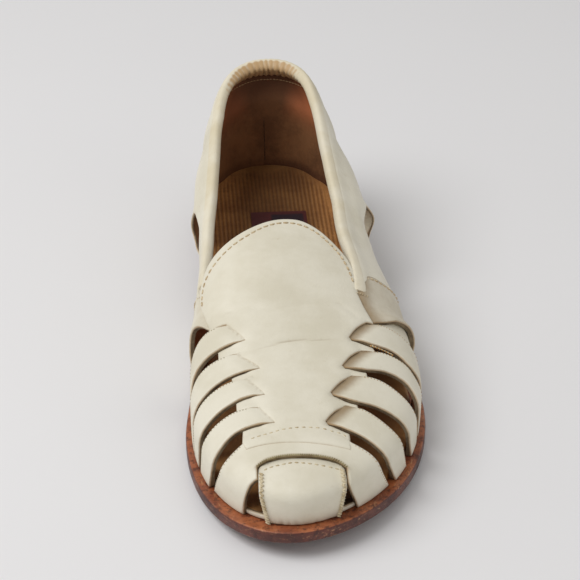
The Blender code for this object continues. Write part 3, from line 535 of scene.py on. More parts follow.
def lining_leather():
    """Unfinished calf lining, brushed, worn brown along its cut edges; painted light makes it orange red
    where the lamp falls on the heel's inner wall, painted shade browns it at the top of the heel and above
    the insole, and a painted highlight makes it cream on the lip behind the outer waist slot.
    """
    material, tree, where = new_material("lining_calf_brushed")
    painted_light_and_tone = add(tree, "Attribute", out="Fac", attribute_name="crease")
    shade = add(tree, "Attribute", out="Fac", attribute_name="rim")
    cloud = add(tree, "TexNoise", {"Vector": where, "Scale": 1000 / 17, "Detail": 4.0, "Roughness": 0.6})
    fibre = add(tree, "TexNoise", {"Vector": where, "Scale": 1000 / 1.6, "Detail": 5.0, "Roughness": 0.75})
    base = tinted(tree, "#8A5F3B", (fibre, 0.3, cloud), 0.5, 0.85, "#694528")
    # Painted light: orange red where the lamp falls on the sides of the heel's inner wall; on the flesh sides
    # of the other pieces the same value gives a set orange tone.
    base = add(tree, "Mix", {0: painted_light_and_tone, 6: base, 7: "#F0925E"}, 2, data_type="RGBA")
    # Above 0 the rim value browns it: wear along cut edges, and painted shade on the quarters' lining.
    base = tinted(tree, base, shade, 0.0, 1.0, "#44200E", 0.75, "LINEAR")
    # Below 0 it is a painted highlight, cream.
    base = tinted(tree, base, shade, -0.2, -1.0, "#D3C8B0", 1.0, "LINEAR")
    return surface(material, base, 0.8, 1.45, (0.5, 0.0003, fibre))


def sock_leather():
    """Vegetable-tanned insole, ribbed by a roller: orange tan, polished on the ribs, dark in the furrows."""
    material, tree, where = new_material("insole_leather_ribbed")
    furrow = add(tree, "Attribute", out="Fac", attribute_name="crease")
    soil = add(tree, "Attribute", out="Fac", attribute_name="rim")
    cloud = add(tree, "TexNoise", {"Vector": where, "Scale": 1000 / 24, "Detail": 4.0, "Roughness": 0.6})
    fibre = add(tree, "TexNoise", {"Vector": where, "Scale": 1000 / 2.4, "Detail": 5.0, "Roughness": 0.75})
    base = tinted(tree, "#C08A50", (fibre, 0.35, cloud), 0.5, 0.85, "#99683A")
    base = tinted(tree, base, (fibre, 0.9, furrow), 0.55, 1.6, "#633C1E", 0.55)
    # Painted shade: the rim value darkens the insole deep in the toe and over the middle of the heel and
    # waist.
    base = add(tree, "Mix", {0: soil, 6: base, 7: "#3C250E"}, 2, data_type="RGBA")
    return surface(material, base, 0.58, 1.48, (0.5, 0.0003, fibre))


def patch_leather():
    """Thin pressed leather: maroon with a plum panel set into it."""
    material, tree, where = new_material("patch_leather_pressed")
    panel = add(tree, "Attribute", out="Fac", attribute_name="crease")
    fibre = add(tree, "TexNoise", {"Vector": where, "Scale": 1000 / 2.5, "Detail": 4.0, "Roughness": 0.7})
    base = add(tree, "Mix", {0: fibre, 6: "#5E2A2C", 7: "#3C1A1A"}, 2, data_type="RGBA")
    inset = add(tree, "Mix", {0: fibre, 6: "#2E222E", 7: "#1E161C"}, 2, data_type="RGBA")
    base = add(tree, "Mix", {0: panel, 6: base, 7: inset}, 2, data_type="RGBA")
    return surface(material, base, 0.5, 1.5, (0.3, 0.0002, fibre))


def sole_leather():
    """Vegetable-tanned sole leather: burnished orange brown on the ledge, maroon and scuffed on its side."""
    material, tree, where = new_material("outsole_leather_burnished")
    facing = add(tree, "SeparateXYZ", {0: add(tree, "TexCoord", out="Normal")}, "Z")
    height = add(tree, "SeparateXYZ", {0: where}, "Z")
    cloud = add(tree, "TexNoise", {"Vector": where, "Scale": 1000 / 14, "Detail": 5.0, "Roughness": 0.65})
    scuff = add(tree, "TexNoise", {"Vector": where, "Scale": 1000 / 2.6, "Detail": 6.0, "Roughness": 0.8})
    long_way = add(tree, "Mapping", {"Vector": where, "Scale": (1.0, 0.22, 1.6)})
    streak = add(tree, "TexNoise", {"Vector": long_way, "Scale": 1000 / 1.6, "Detail": 5.0, "Roughness": 0.7})
    ledge = tinted(tree, "#B46A40", cloud, 0.35, 0.68, "#7E4028")
    side = tinted(tree, "#6C3627", cloud, 0.35, 0.68, "#44211D")
    base = tinted(tree, side, facing, 0.45, 0.85, ledge)
    base = tinted(tree, base, scuff, 0.49, 0.6, "#3C1C16", 0.75)
    base = tinted(tree, base, streak, 0.55, 0.7, "#D09A6C", 0.55)
    ground = add(tree, "MapRange", {0: height, 1: 0.0004, 2: 0.0013, 3: 0.8, 4: 0.0}, interpolation_type=SOFT)
    base = add(tree, "Mix", {0: ground, 6: base, 7: "#5A524E"}, 2, data_type="RGBA")
    rough = add(tree, "MapRange", {0: cloud, 1: 0.3, 2: 0.7, 3: 0.34, 4: 0.55})
    return surface(material, base, rough, 1.5, (0.45, 0.0005, scuff))


def stacked_leather():
    """Heel of stacked leather lifts, waxed: thin dark glue lines every 3.4 mm."""
    material, tree, where = new_material("heel_leather_stacked")
    lines = add(tree, "TexWave", {"Vector": where, "Scale": 1000 / 3.4 / 20, "Distortion": 0.15,
                                  "Detail": 2.0, "Detail Scale": 3.0}, "Fac", bands_direction="Z")
    cloud = add(tree, "TexNoise", {"Vector": where, "Scale": 1000 / 10, "Detail": 5.0, "Roughness": 0.65})
    base = tinted(tree, "#7A4230", cloud, 0.35, 0.7, "#50281E")
    base = tinted(tree, base, lines, 0.86, 0.99, "#2C1512", 0.8)
    return surface(material, base, 0.42, 1.5, (0.3, 0.0003, lines), invert=True)


def lift_rubber():
    """Moulded rubber top lift: near black, matt, dusty."""
    material, tree, where = new_material("top_lift_rubber_moulded")
    dust = add(tree, "TexNoise", {"Vector": where, "Scale": 1000 / 6, "Detail": 5.0, "Roughness": 0.7})
    base = tinted(tree, "#231B19", dust, 0.45, 0.75, "#4A3A33")
    rough = add(tree, "MapRange", {0: dust, 1: 0.4, 2: 0.7, 3: 0.6, 4: 0.85})
    return surface(material, base, rough, 1.52, (0.2, 0.0002, dust))


def thread(name, lit, deep):
    """Waxed linen thread, and fibres of leather pulled up at holes and edges: matt, soiled unevenly."""
    material, tree, where = new_material(name)
    soil = add(tree, "TexNoise", {"Vector": where, "Scale": 1000 / 3, "Detail": 3.0})
    base = tinted(tree, lit, soil, 0.35, 0.65, deep)
    return surface(material, base, 0.7, 1.45)


def floor_paint():
    """Matt pale paint of the studio floor."""
    material, tree, where = new_material("floor_paint_matt")
    dust = add(tree, "TexNoise", {"Vector": where, "Scale": 6.0, "Detail": 3.0})
    base = add(tree, "Mix", {0: dust, 6: "#ECEBEC", 7: "#E9E8E9"}, 2, data_type="RGBA")
    return surface(material, base, 0.8, 1.45)


CREAM = upper_leather("upper_leather_calf_aniline", "#E8E2D0", "#DBD4BF", "#B4936A")
ROLL_LEATHER = upper_leather("collar_leather_calf_rolled", "#E9E1CC", "#DACEB0", "#BB935D")
RAW_EDGE, SOCK, PATCH, LINING = cut_edge_leather(), sock_leather(), patch_leather(), lining_leather()
SOLE, STACK, RUBBER = sole_leather(), stacked_leather(), lift_rubber()
THREAD = thread("thread_linen_waxed", "#DCCFB0", "#BDAA86")
TAN = thread("thread_linen_tan", "#C6A87E", "#A98860")
OLIVE = thread("thread_edge_fibres_olive", "#A59A72", "#786A44")
# A darker copy of the olive fibres: painted shade on the lower row under the toe band's edge.
SHADED = thread("thread_edge_fibres_painted_shade", "#857650", "#5A4E30")
RUST = thread("leather_suede_crumbs", "#D6AC72", "#B4854E")
DARK = thread("thread_lining_seam", "#553620", "#402817")


# ---- pieces ----
def cut_flat(outlines, grid, rim=RIM_RINGS):
    """Flat piece of leather with rings of faces along its cut edge and a square grid inside."""
    bm = bmesh.new()
    made = {}
    for outline in outlines:
        corners = []
        for x, y in outline:
            key = (round(x, 2), round(y, 2))
            if key not in made:
                made[key] = bm.verts.new((x, y, 0))
            if not corners or corners[-1] is not made[key]:
                corners.append(made[key])
        face = bm.faces.new(corners)
        face.normal_update()
        if face.normal.z < 0:
            face.normal_flip()
        face.material_index = 1
    region = list(bm.faces)
    for width in rim:
        ring = bmesh.ops.inset_region(bm, faces=region, thickness=width, use_boundary=True,
                                      use_even_offset=False)["faces"]
        for face in ring:
            face.material_index = 0
    low = np.min([outline.min(0) for outline in outlines], 0)
    high = np.max([outline.max(0) for outline in outlines], 0)
    faces = [f for f in bm.faces if f.material_index == 1]
    parts = [e for f in faces for e in f.edges] + [v for f in faces for v in f.verts]
    geom = faces + list(dict.fromkeys(parts))
    for axis, normal in enumerate((Vector((1, 0, 0)), Vector((0, 1, 0)))):
        for at in np.arange(math.ceil(low[axis] / grid) * grid, high[axis], grid):
            geom = bmesh.ops.bisect_plane(bm, geom=geom, dist=1e-4, plane_no=normal,
                                          plane_co=normal * float(at + 0.013))["geom"]
    return bm


def wear_and_painted_light_layers(bm):
    """The values of a point that its material reads: rim, then crease."""
    return [bm.verts.layers.float.new(name) for name in ("rim", "crease")]


def doubled(bm):
    """Gives a flat piece its outer face: all points, the outer ones, flat places, and which are outer."""
    made = bmesh.ops.extrude_face_region(bm, geom=list(bm.faces), use_keep_orig=True)["geom"]
    outer = {v for v in made if isinstance(v, bmesh.types.BMVert)}
    verts = list(bm.verts)
    return verts, outer, np.array([v.co[:2] for v in verts]), np.array([v in outer for v in verts])


def settle(verts, spots, layers=(), values=()):
    """Moves points to places in millimetres and gives them their values."""
    for k, vert in enumerate(verts):
        vert.co = spots[k] * MM
        for layer, value in zip(layers, values):
            vert[layer] = value[k]


def finished(name, bm, materials, replaced=None, angle=50):
    bmesh.ops.recalc_face_normals(bm, faces=bm.faces)
    mesh = bpy.data.meshes.new(name)
    bm.to_mesh(mesh)
    bm.free()
    mesh.shade_smooth()
    mesh.set_sharp_from_angle(angle=math.radians(angle))
    for material in materials:
        mesh.materials.append(material)
    item = bpy.data.objects.new(name, mesh)
    bpy.context.scene.collection.objects.link(item)
    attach(item, "root")
    if replaced:
        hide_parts(replaced)


def outer_edges(outlines):
    """Closed lines of the outlines, less the stretches that two of them share."""
    if len(outlines) == 1:
        return [closed(outlines[0])]
    runs = {}
    for outline in outlines:
        for a, b in zip(outline, np.roll(outline, -1, axis=0)):
            key = frozenset((tuple(np.round(a, 2)), tuple(np.round(b, 2))))
            runs.setdefault(key, []).append(np.array([a, b]))
    return [run[0] for run in runs.values() if len(run) == 1]


def leather_piece(name, outlines, shape, grid=2.0, materials=None):
    """Piece of leather on the last. shape(flat, up) gives its faces, and its wear and painted light and
    shade, at flat places.
    """
    bm = cut_flat(outlines, grid)
    layers = wear_and_painted_light_layers(bm)
    verts, outer, flat, up = doubled(bm)
    for face in bm.faces:
        count = sum(v in outer for v in face.verts)
        face.material_index = 0 if count == len(face.verts) else (2 if count == 0 else 1)
    edge = np.min([nearest(flat, line)[0] for line in outer_edges(outlines)], 0)
    form = shape(flat, up)
    top, bottom, cut = form["top"], form["bottom"], form.get("cut", 1.0)
    drop = ramp(edge, CUT_ROUND, -CUT_ROUND)
    top = top - cut * CUT_ROUND * (1 - np.sqrt(1 - drop**2)) * np.clip((top - bottom) / LEATHER, 0, 1)
    # Wear along the cut edges, plus the shape's own rim value, which on the quarters' lining is painted light
    # and shade.
    rim = ramp(edge, EDGE_WEAR, -EDGE_WEAR) * cut + form.get("rim", 0.0)
    settle(verts, off_last(*flat.T, np.where(up, top, bottom)), layers, (rim, form["crease"]))
    finished(name, bm, materials or (CREAM, RAW_EDGE, LINING), "upper")


def bumps(flat, creases):
    """Height and dirt of soft creases: (points with a depth each, width) rows; a depth below 0 swells."""
    height, dirt = np.zeros(len(flat)), np.zeros(len(flat))
    for points, width in creases:
        line = smooth_line(points, 2.0)
        gap, share = nearest(flat, line[:, :2])
        depth = np.interp(share, np.arange(len(line)), line[:, 2])
        height += depth * (0.4 * bell(gap - 2.4 * width, 1.4 * width) - bell(gap, width))
        dirt += np.clip(depth, 0, 1) * bell(gap, 0.8 * width)
    return height, dirt


# points of a crease: across, along, depth
VAMP_CREASES = (
    (((-25, 192.4, 0.0), (-18, 193.5, 0.15), (-10.3, 193.9, 0.35), (-4, 193.2, 0.5), (3.7, 193.2, 0.5),
      (9.3, 193.9, 0.45), (15.8, 194.4, 0.35), (21.6, 194.8, 0.2), (25, 195, 0.0)), 0.9),
    (((-24, 199.5, 0.0), (-8, 200, -0.35), (8, 200, -0.35), (22, 201, 0.0)), 4.5),
    (((-26, 186, 0.0), (-8, 186.5, -0.3), (8, 186.5, -0.3), (24, 188, 0.0)), 4.5),
    (((-29, 170.4, 0.0), (-24.2, 171.1, 0.12), (-18, 171.6, 0.2), (-10, 175.3, 0.22), (-0.5, 175.2, 0.22),
      (9.5, 173.7, 0.22), (17.9, 173.1, 0.2), (25.3, 173.5, 0.12), (29, 174, 0.0)), 1.1),
    (((-9, 170.8, 0.0), (-4, 171.1, 0.12), (7, 171.5, 0.12), (16, 170.9, 0.0)), 1.0),
    (((17.6, 170.5, 0.0), (22, 175.2, 0.22), (25.4, 177.9, 0.25), (28, 181.5, 0.0)), 0.9),
    (((-34, 163.5, 0.0), (-27, 168, 0.16), (-21, 174, 0.16), (-16, 181, 0.0)), 1.4),
    (((14, 205, 0.0), (2, 204, 0.12), (-8, 204, 0.0)), 1.2),
)
TAB_PUCKERS = (
    (((-11.5, 277, 0.0), (-11, 280, 0.2), (-10.7, 284, 0.4)), 0.8),
    (((-8.4, 277, 0.0), (-8, 280.5, 0.2), (-7.7, 284, 0.35)), 0.8),
    (((-5.6, 278, 0.0), (-5, 281, 0.2), (-4.8, 285, 0.35)), 0.8),
    (((3.4, 278, 0.0), (3.6, 281, 0.15), (3.5, 285, 0.3)), 0.9),
)


def down_piece(rear, front, *under):
    """Outline of a piece between two edges that run down to the sole."""
    return joined(rear, along_sole(rear[-1], front[-1]), front[::-1], *under)


def outward(slit, side):
    """Direction across a slit, towards the side of the foot."""
    span = slit[1] - slit[0]
    way = np.array([span[1], -span[0]]) / np.linalg.norm(span)
    return way if way[0] * side > 0 else -way


def plug_height(flat):
    """Outer face of the vamp plug: creased where the foot bends, fingers low between the strips."""
    height, dirt = bumps(flat, VAMP_CREASES)
    top, lift, dip = PLUG + height, 0 * flat[:, 0], 0 * flat[:, 0]
    for side in (-1, 1):
        for lines in STRIPS[side]:
            rear, front = [smooth_line(line, 1.0) for line in lines]
            slit = np.array([rear[0], front[0]])
            out = (flat - slit[0]) @ outward(slit, side)
            behind, ahead = nearest(flat, rear)[0], nearest(flat, front)[0]
            low = ramp(out, 0, 5.0) ** 1.5 * ramp(np.minimum(behind, ahead), 7.5, -5.0)
            if side > 0:
                low = np.maximum(low, 1.5 * ramp(out, -0.2, 1.6) * bell(ahead, 1.9))
                middle = np.linalg.norm(flat - slit.mean(0) - (1.5, 0), axis=1)
                lift = np.maximum(lift, 0.3 * bell(middle, 5.5))
            top = np.minimum(top, PLUG + height - 1.15 * low)
            dip = np.maximum(dip, bell(nearest(flat, slit)[0], 1.6))
        beside = nearest(flat, smooth_line(PLUG_SIDE[side] + PLUG_STEPS[side][:1], 1.0))[0]
        dip = np.maximum(dip, 0.9 * bell(beside, 1.8))
    tip = nearest(flat, smooth_line(PLUG_FRONT))[0]
    dip = np.maximum(dip, 0.8 * bell(tip, 1.2))
    return top + lift - 0.45 * dip, dirt + 0.25 * bell(tip, 0.8) + 0.15 * dip


def plug_shape(flat, up):
    top, dirt = plug_height(flat)
    return {"top": top, "bottom": np.clip(top - LEATHER, 0, 4), "crease": np.where(up, dirt, 0.2)}


def plug_outline():
    """The plug's arch, its stepped sides cut away for the strips, and its front."""
    arch, tip = smooth_line(PLUG_ARCH), smooth_line(PLUG_FRONT)
    sides = {side: np.array(PLUG_SIDE[side] + PLUG_STEPS[side], float) for side in (-1, 1)}
    whole = np.vstack([arch, sides[1], tip, sides[-1][::-1]])
    runs = {}
    for side in (-1, 1):
        run = [sides[side][:3]]
        for lines in STRIPS[side]:
            ends = np.array([line[0] for line in lines], float)
            bow = ends.mean(0) + (side * SLIT_BOW[side], 0)
            rear, front = [smooth_line(line, 0.1) for line in lines]
            rear, front = [even(line[:int(np.argmin(inside(line[10:], whole))) + 10], EDGE_STEP)
                           for line in (rear, front)]
            run += [rear[::-1], smooth_line((ends[0], bow, ends[1]))[1:-1], front]
        runs[side] = np.vstack(run + [sides[side][-1:]])
    return joined(arch, runs[1], tip, runs[-1][::-1])


def strip_outline(side, number):
    """A strip from a little way under the plug down to the sole."""
    rear, front = [lasted(line) for line in STRIPS[side][number]]
    slit = np.array([rear[0], front[0]])
    under = slit[::-1] - 3.0 * outward(slit, side) + np.outer((-0.06, 0.06), slit[1] - slit[0])
    return down_piece(rear, front, even(under, EDGE_STEP))


def strip_shape(side, number):
    """Strip: comes out of its slit, bows over the side of the foot and goes under the feather line."""
    slit = np.array([line[0] for line in STRIPS[side][number]], float)
    # The last value darkens the strip where it comes out from under the plug: painted shade of the plug's
    # edge, wide on the outer side, a thin line on the inner side.
    start, run, reach, soil = (1.3, 6.5, 4.6, 0.85) if side > 0 else (2.0, 4.0, 0.8, 0.45)

    def shape(flat, up):
        out, above = (flat - slit[0]) @ outward(slit, side), over_sole(flat)
        top = start + (STRIP - start) * ease(ramp(out, -0.3, run))
        bottom = np.clip(top - 1.5 * LEATHER, -1.2, 3) * (1 - ramp(above, 7.0, -7.0))
        # Painted shade where the strip leaves its slit, and dirt near the sole.
        dirt = soil * bell(out, reach) + 0.3 * ramp(above, 4.0, -4.0)
        return {"top": top, "bottom": bottom, "crease": np.where(up, dirt, 0.25)}
    return shape


def band_outline():
    inner, outer = lasted(BAND_OUTER[-1]), lasted(BAND_OUTER[1])
    hole_in, hole_out = lasted(TOE_HOLE[-1]), lasted(TOE_HOLE[1])
    under = even(np.array([inner[0], (-20, 240.5), (14, 243.0), outer[0]]), EDGE_STEP)
    return joined(under, outer, along_sole(outer[-1], hole_out[-1]), hole_out[::-1],
                  smooth_line(BAND_INNER), hole_in, along_sole(hole_in[-1], inner[-1]), inner[::-1])


def band_shape(flat, up):
    """Toe band: its inner edge stands thick and raw above the tab."""
    rope = nearest(flat, smooth_line(BAND_INNER))[0]
    dirt = 0.6 * bell(rope, 1.4) + 0.25 * ramp(over_sole(flat), 4.0, -4.0)
    return {"top": BAND + 0.5 * bell(rope, 2.2), "bottom": 0 * rope, "crease": np.where(up, dirt, 0.3)}


def sliver_outline(side):
    """Edge of the toe lining that shows along the sole in a toe hole."""
    sole = along_sole(lasted(TOE_HOLE[side])[-1], lasted(TAB_SIDE[side])[-1])
    return joined(sole, sole[::-1] + (0, -2.6))


def sliver_shape(flat, up):
    return {"top": 0.4 + 0 * up, "bottom": -0.9 + 0 * up, "crease": 0.0 * up}


def tab_outline():
    left, right = lasted(TAB_SIDE[-1]), lasted(TAB_SIDE[1])
    tuck = np.array((0, -3.0))
    under = np.vstack([right[:1], right[:1] + tuck, smooth_line(BAND_INNER) + tuck,
                       left[:1] + tuck, left[:1]])
    return down_piece(left, right, even(under, EDGE_STEP))


def tab_height(flat):
    """Outer face of the toe tab, its ridges, and what lies behind the band's edge."""
    line = smooth_line(BAND_INNER)
    behind = inside(flat, np.vstack([line, line[::-1] + (0, -6.0)]))
    border = np.min([np.abs(flat[:, 0] - TAB_SIDE[side][0][0]) for side in (-1, 1)], 0)
    bead = bell(border - 1.4, 1.1) * ~behind
    rise = np.clip(nearest(flat, line)[0] / 3.0, 0, 1) * ~behind
    return TAB_ROOT + (TAB - TAB_ROOT) * rise + 0.7 * bead, bead, behind


def tab_shape(flat, up):
    """Toe tab: stitched ridges down both sides, puckered where it is lasted under."""
    top, bead, behind = tab_height(flat)
    pucker, dirt = bumps(flat, TAB_PUCKERS)
    dirt = 0.6 * dirt + 0.4 * bead + 0.5 * ramp(over_sole(flat), 5.0, -5.0)
    return {"top": top + pucker, "bottom": np.where(behind, -0.3, 0.0), "crease": np.where(up, dirt, 0.3)}


# ---- quarters ----
def slot_line(side):
    """Waist cut-out: a squarish oval, from its top over its rear end and back."""
    along, above = SLOT_CENTRE
    loop = []
    for turn in np.linspace(math.pi / 2, 2.5 * math.pi, 40, endpoint=False):
        c, s = math.cos(turn), math.sin(turn)
        square = (abs(c) ** SLOT_SQUARE + abs(s) ** SLOT_SQUARE) ** (-1 / SLOT_SQUARE)
        loop.append(flat_at(0, along + SLOT_HALF[0] * c * square, side, above + SLOT_HALF[1] * s * square))
    return np.array(loop)


def quarter_outlines():
    """Rear part of the quarters: a U round the heel and one part ahead of it on each side."""
    at = SLOT_CENTRE[0]
    rear, ahead = {}, {}
    for side in (-1, 1):
        top = topline(side, COLLAR_SEAT - 1.2, THROAT_END[side])
        meet = np.array([np.interp(at, top[20:, 1], top[20:, 0]), at])
        beyond = np.arange(len(top)) > 20
        back = top[~((top[:, 1] > at - 0.6) & beyond)]
        fore = top[(top[:, 1] > at + 0.6) & beyond]
        slot = SLOTS[side]
        half = len(slot) // 2
        sole = np.array(flat_at(0, at, side, 0))
        upper_cut = even(np.array([meet, slot[0]]), 4.0)
        lower_cut = even(np.array([slot[half], sole]), 4.0)
        rear[side] = [np.vstack([back, [meet]]), upper_cut, slot[:half + 1], lower_cut]
        seam = to_sole(smooth_line(SEAM[side]) + (0, 3.0))
        ahead[side] = joined([meet], fore, seam, along_sole(seam[-1], sole), lower_cut[::-1],
                             slot[half:], slot[:1], upper_cut[::-1])
    bottom = along_sole(rear[-1][-1][-1], rear[1][-1][-1])
    u_shape = joined(rear[1][0][::-1], rear[-1][0][1:], *rear[-1][1:], bottom,
                     *[line[::-1] for line in rear[1][:0:-1]])
    return [u_shape, ahead[-1], ahead[1]]


def swell_at(flat):
    """How far the leather has risen to the rolled topline, and its distance from it."""
    gap = nearest(flat, TOP_LINE)[0]
    return 1 - ease(ramp(gap, 2.4, 6.0)), gap


def lean_in(flat, gap):
    """How far the upper part of the waist leans over the foot, above what the last gives."""
    across, along = flat.T
    inner, outer = [LEAN[side][0] * bell(along - LEAN[side][1], 24) for side in (-1, 1)]
    return np.where(across > 0, outer, inner) * np.clip(1 - np.maximum(gap - 4.5, 0) / 20, 0, 1) ** 2


def quarters_shape(flat, up):
    """Quarters: padded at the heel, risen to the roll, turned out behind the waist slots; painted light and
    shade on their lining.
    """
    across, along = flat.T
    outer = across > 0
    swell, gap = swell_at(flat)
    lean, above = lean_in(flat, gap), over_sole(flat)
    slot = np.min([nearest(flat, closed(SLOTS[side]))[0] for side in (-1, 1)], 0)
    behind = ramp(along, SLOT_CENTRE[0] + 1, -6) * bell(above - 17.5, 6.5)
    flare = behind * bell(slot, 3.4)
    dent = (np.where(outer, DENT[1], DENT[-1]) * ramp(along, SLOT_CENTRE[0] - 4, 8) * bell(slot, 6.0)
            * np.clip(above / 8, 0, 1))
    top = (QUARTER + SWELL * swell - 0.08 * bell(gap - 1.7, 0.6) - lean
           + np.where(outer, LIP[1], LIP[-1]) * flare - dent)
    padding = ease(ramp(along, 36, -46)) * ramp(gap, 4, 14)
    bottom = -HEEL_PADDING * padding - lean - dent
    bottom += np.clip(2 * flare, 0, 1) * np.clip(top + lean + dent - LEATHER, 0, 9)
    fold = 0.1 * bell(gap - 2.3, 0.9) + 0.3 * bell(slot, 2.0)
    # Painted light on the lining: orange red on the sides of the heel's inner wall below the topline, where
    # the lamp falls.
    painted_light_and_tone = (bell(np.clip(gap - 13, 0, None), 8) * ramp(np.abs(across + 2.5), np.where(outer, 15, 9), 12)
            * ramp(along, 80, -30) * np.where(outer, 1.0, 0.5))
    # Painted shade on the lining: darker at the top of the heel's back and in a band just above the insole;
    # below 0 it is a painted highlight, cream, on the lining of the lip behind the outer waist slot.
    shade = (ramp(along, 25, -25) * bell(gap - 9, 13) - 1.6 * behind * bell(slot, 4.0) * outer
             + ramp(above, 5.0, -2.5) * ramp(along, 50, -20) * np.where(across > -4, 0.9, 0.5))
    return {"top": top, "bottom": bottom, "crease": np.where(up, fold, painted_light_and_tone),
            "cut": ramp(gap, 3, 1.5), "rim": np.where(up, 0.0, shade)}


def lap_outline(side):
    seam, front = lasted(SEAM[side]), lasted(QUARTER_FRONT[side])
    under = np.array([(-30, 171), (-30, 146)] if side < 0 else [(26, 178), (25, 152)], float)
    return down_piece(seam, front, even(np.vstack([front[:1], under[:1]]), EDGE_STEP),
                      even(np.vstack([under, seam[:1]]), EDGE_STEP))


def lap_shape(side):
    """Front of a quarter: lies under the plug, laps the rear part, its lower front edge standing off."""
    arch = PLUG_ARCH[-4:] if side > 0 else PLUG_ARCH[3::-1]
    plug_edge = smooth_line(arch + PLUG_SIDE[side] + PLUG_STEPS[side][:1], 1.0)
    seam, front = smooth_line(SEAM[side]), smooth_line(QUARTER_FRONT[side])
    # The first value darkens the whole front: grime, and on the outer side painted shade of the side turned
    # from the lamp; the second darkens it along the plug's edge.
    grime_and_painted_shade, plug_edge_darkening = (0.42, 0.4) if side > 0 else (0.1, 0.25)

    def shape(flat, up):
        gap = nearest(flat, plug_edge)[0]
        free = np.abs(flat[:, 0]) >= np.interp(flat[:, 1], plug_edge[:, 1], np.abs(plug_edge[:, 0]))
        edge, share = nearest(flat, front)
        middle = np.clip(share / len(front) * 5, 0, 1) * np.clip(over_sole(flat) / 14, 0, 1)
        flare = middle * bell(edge, 6.0) * free
        top = np.where(free, 1.5 + (QUARTER_LAP - 1.5) * ease(np.clip(gap / 2.0, 0, 1)), 1.2)
        top += 0.6 * swell_at(flat)[0] * free + FRONT_LIP[side] * flare
        bottom = np.clip(top - 1.7 * LEATHER, 0, 4) * np.clip(2.2 * flare, 0, 1)
        dirt = grime_and_painted_shade + plug_edge_darkening * bell(gap, 4.5) + 0.3 * bell(nearest(flat, seam)[0], 1.0)
        return {"top": top, "bottom": bottom, "crease": np.where(up, dirt, 0.3)}
    return shape


def underlay_outline():
    rear, front = [lasted(line) for line in UNDERLAY]
    return down_piece(rear, front, even(np.array([front[0], rear[0]]), EDGE_STEP))


def underlay_shape(flat, up):
    """Lining of the outer quarter's front, which shows ahead of it in the gap."""
    rise = np.clip(over_sole(flat) / 14, 0, 1)
    top = 0.9 + (np.interp(flat[:, 0], (35, 43), (0.7, 1.8)) - 0.9) * rise
    return {"top": top, "bottom": top - LEATHER, "crease": 0.2 * (1 - rise)}


def make_upper():
    leather_piece("vamp_plug", [plug_outline()], plug_shape, 1.0)
    for side, name in SIDES:
        for number in range(4):
            leather_piece("strip_%s_%d" % (name, number + 1), [strip_outline(side, number)],
                          strip_shape(side, number), 1.5)
        leather_piece("quarter_front_" + name, [lap_outline(side)], lap_shape(side), 1.8,
                      (CREAM, RAW_EDGE, CREAM if side > 0 else LINING))
        leather_piece("toe_lining_" + name, [sliver_outline(side)], sliver_shape)
    leather_piece("quarter_underlay_outer", [underlay_outline()], underlay_shape)
    leather_piece("toe_band", [band_outline()], band_shape, 1.4)
    leather_piece("toe_tab", [tab_outline()], tab_shape, 0.9)
    leather_piece("quarters", quarter_outlines(), quarters_shape, 1.8)


# ---- topline ----
def topline_flat(side, kind, value, height, drop):
    curve = sections([kind], [value], [side])[0]
    lengths = section_lengths(curve[None])[0]
    base = float(column("seat", HEEL_CENTRE if kind == 2 else value))
    rise = curve[::-1, 2] - base
    crest = int(rise.argmax()) + 1
    above = np.interp(height, rise[:crest], (lengths[-1] - lengths)[::-1][:crest])
    return flat_at(kind, value, side, above - drop)


def topline(side, drop, end):
    """Topline from the back of the heel forward to a station, or a line that follows it below."""
    number = 1 if side < 0 else 2
    around, beside = np.array(TOPLINE_HEEL), np.array(TOPLINE_SIDE)
    line = []
    for angle in range(0, 90, 10):
        height = np.interp(angle, around[:, 0], around[:, number])
        line.append(topline_flat(side, 2, math.radians(angle), height, drop))
    for along in np.append(np.arange(HEEL_CENTRE, end - 2, 7.0), end):
        height = np.interp(along, beside[:, 0], beside[:, number])
        line.append(topline_flat(side, 0, float(along), height, drop))
    return eased(smooth_line(line), 24)


def collar_line():
    """The roll's line from its end on the plug, round the heel, to its inner end under the plug."""
    outer = topline(1, 0.0, COLLAR_END[1])[:-3][::-1]
    inner = topline(-1, 0.0, COLLAR_END[-1] + COLLAR_TUCK)[1:]
    return eased(smooth_line(np.vstack([COLLAR_LAP, outer, inner]), 0.6), 32)


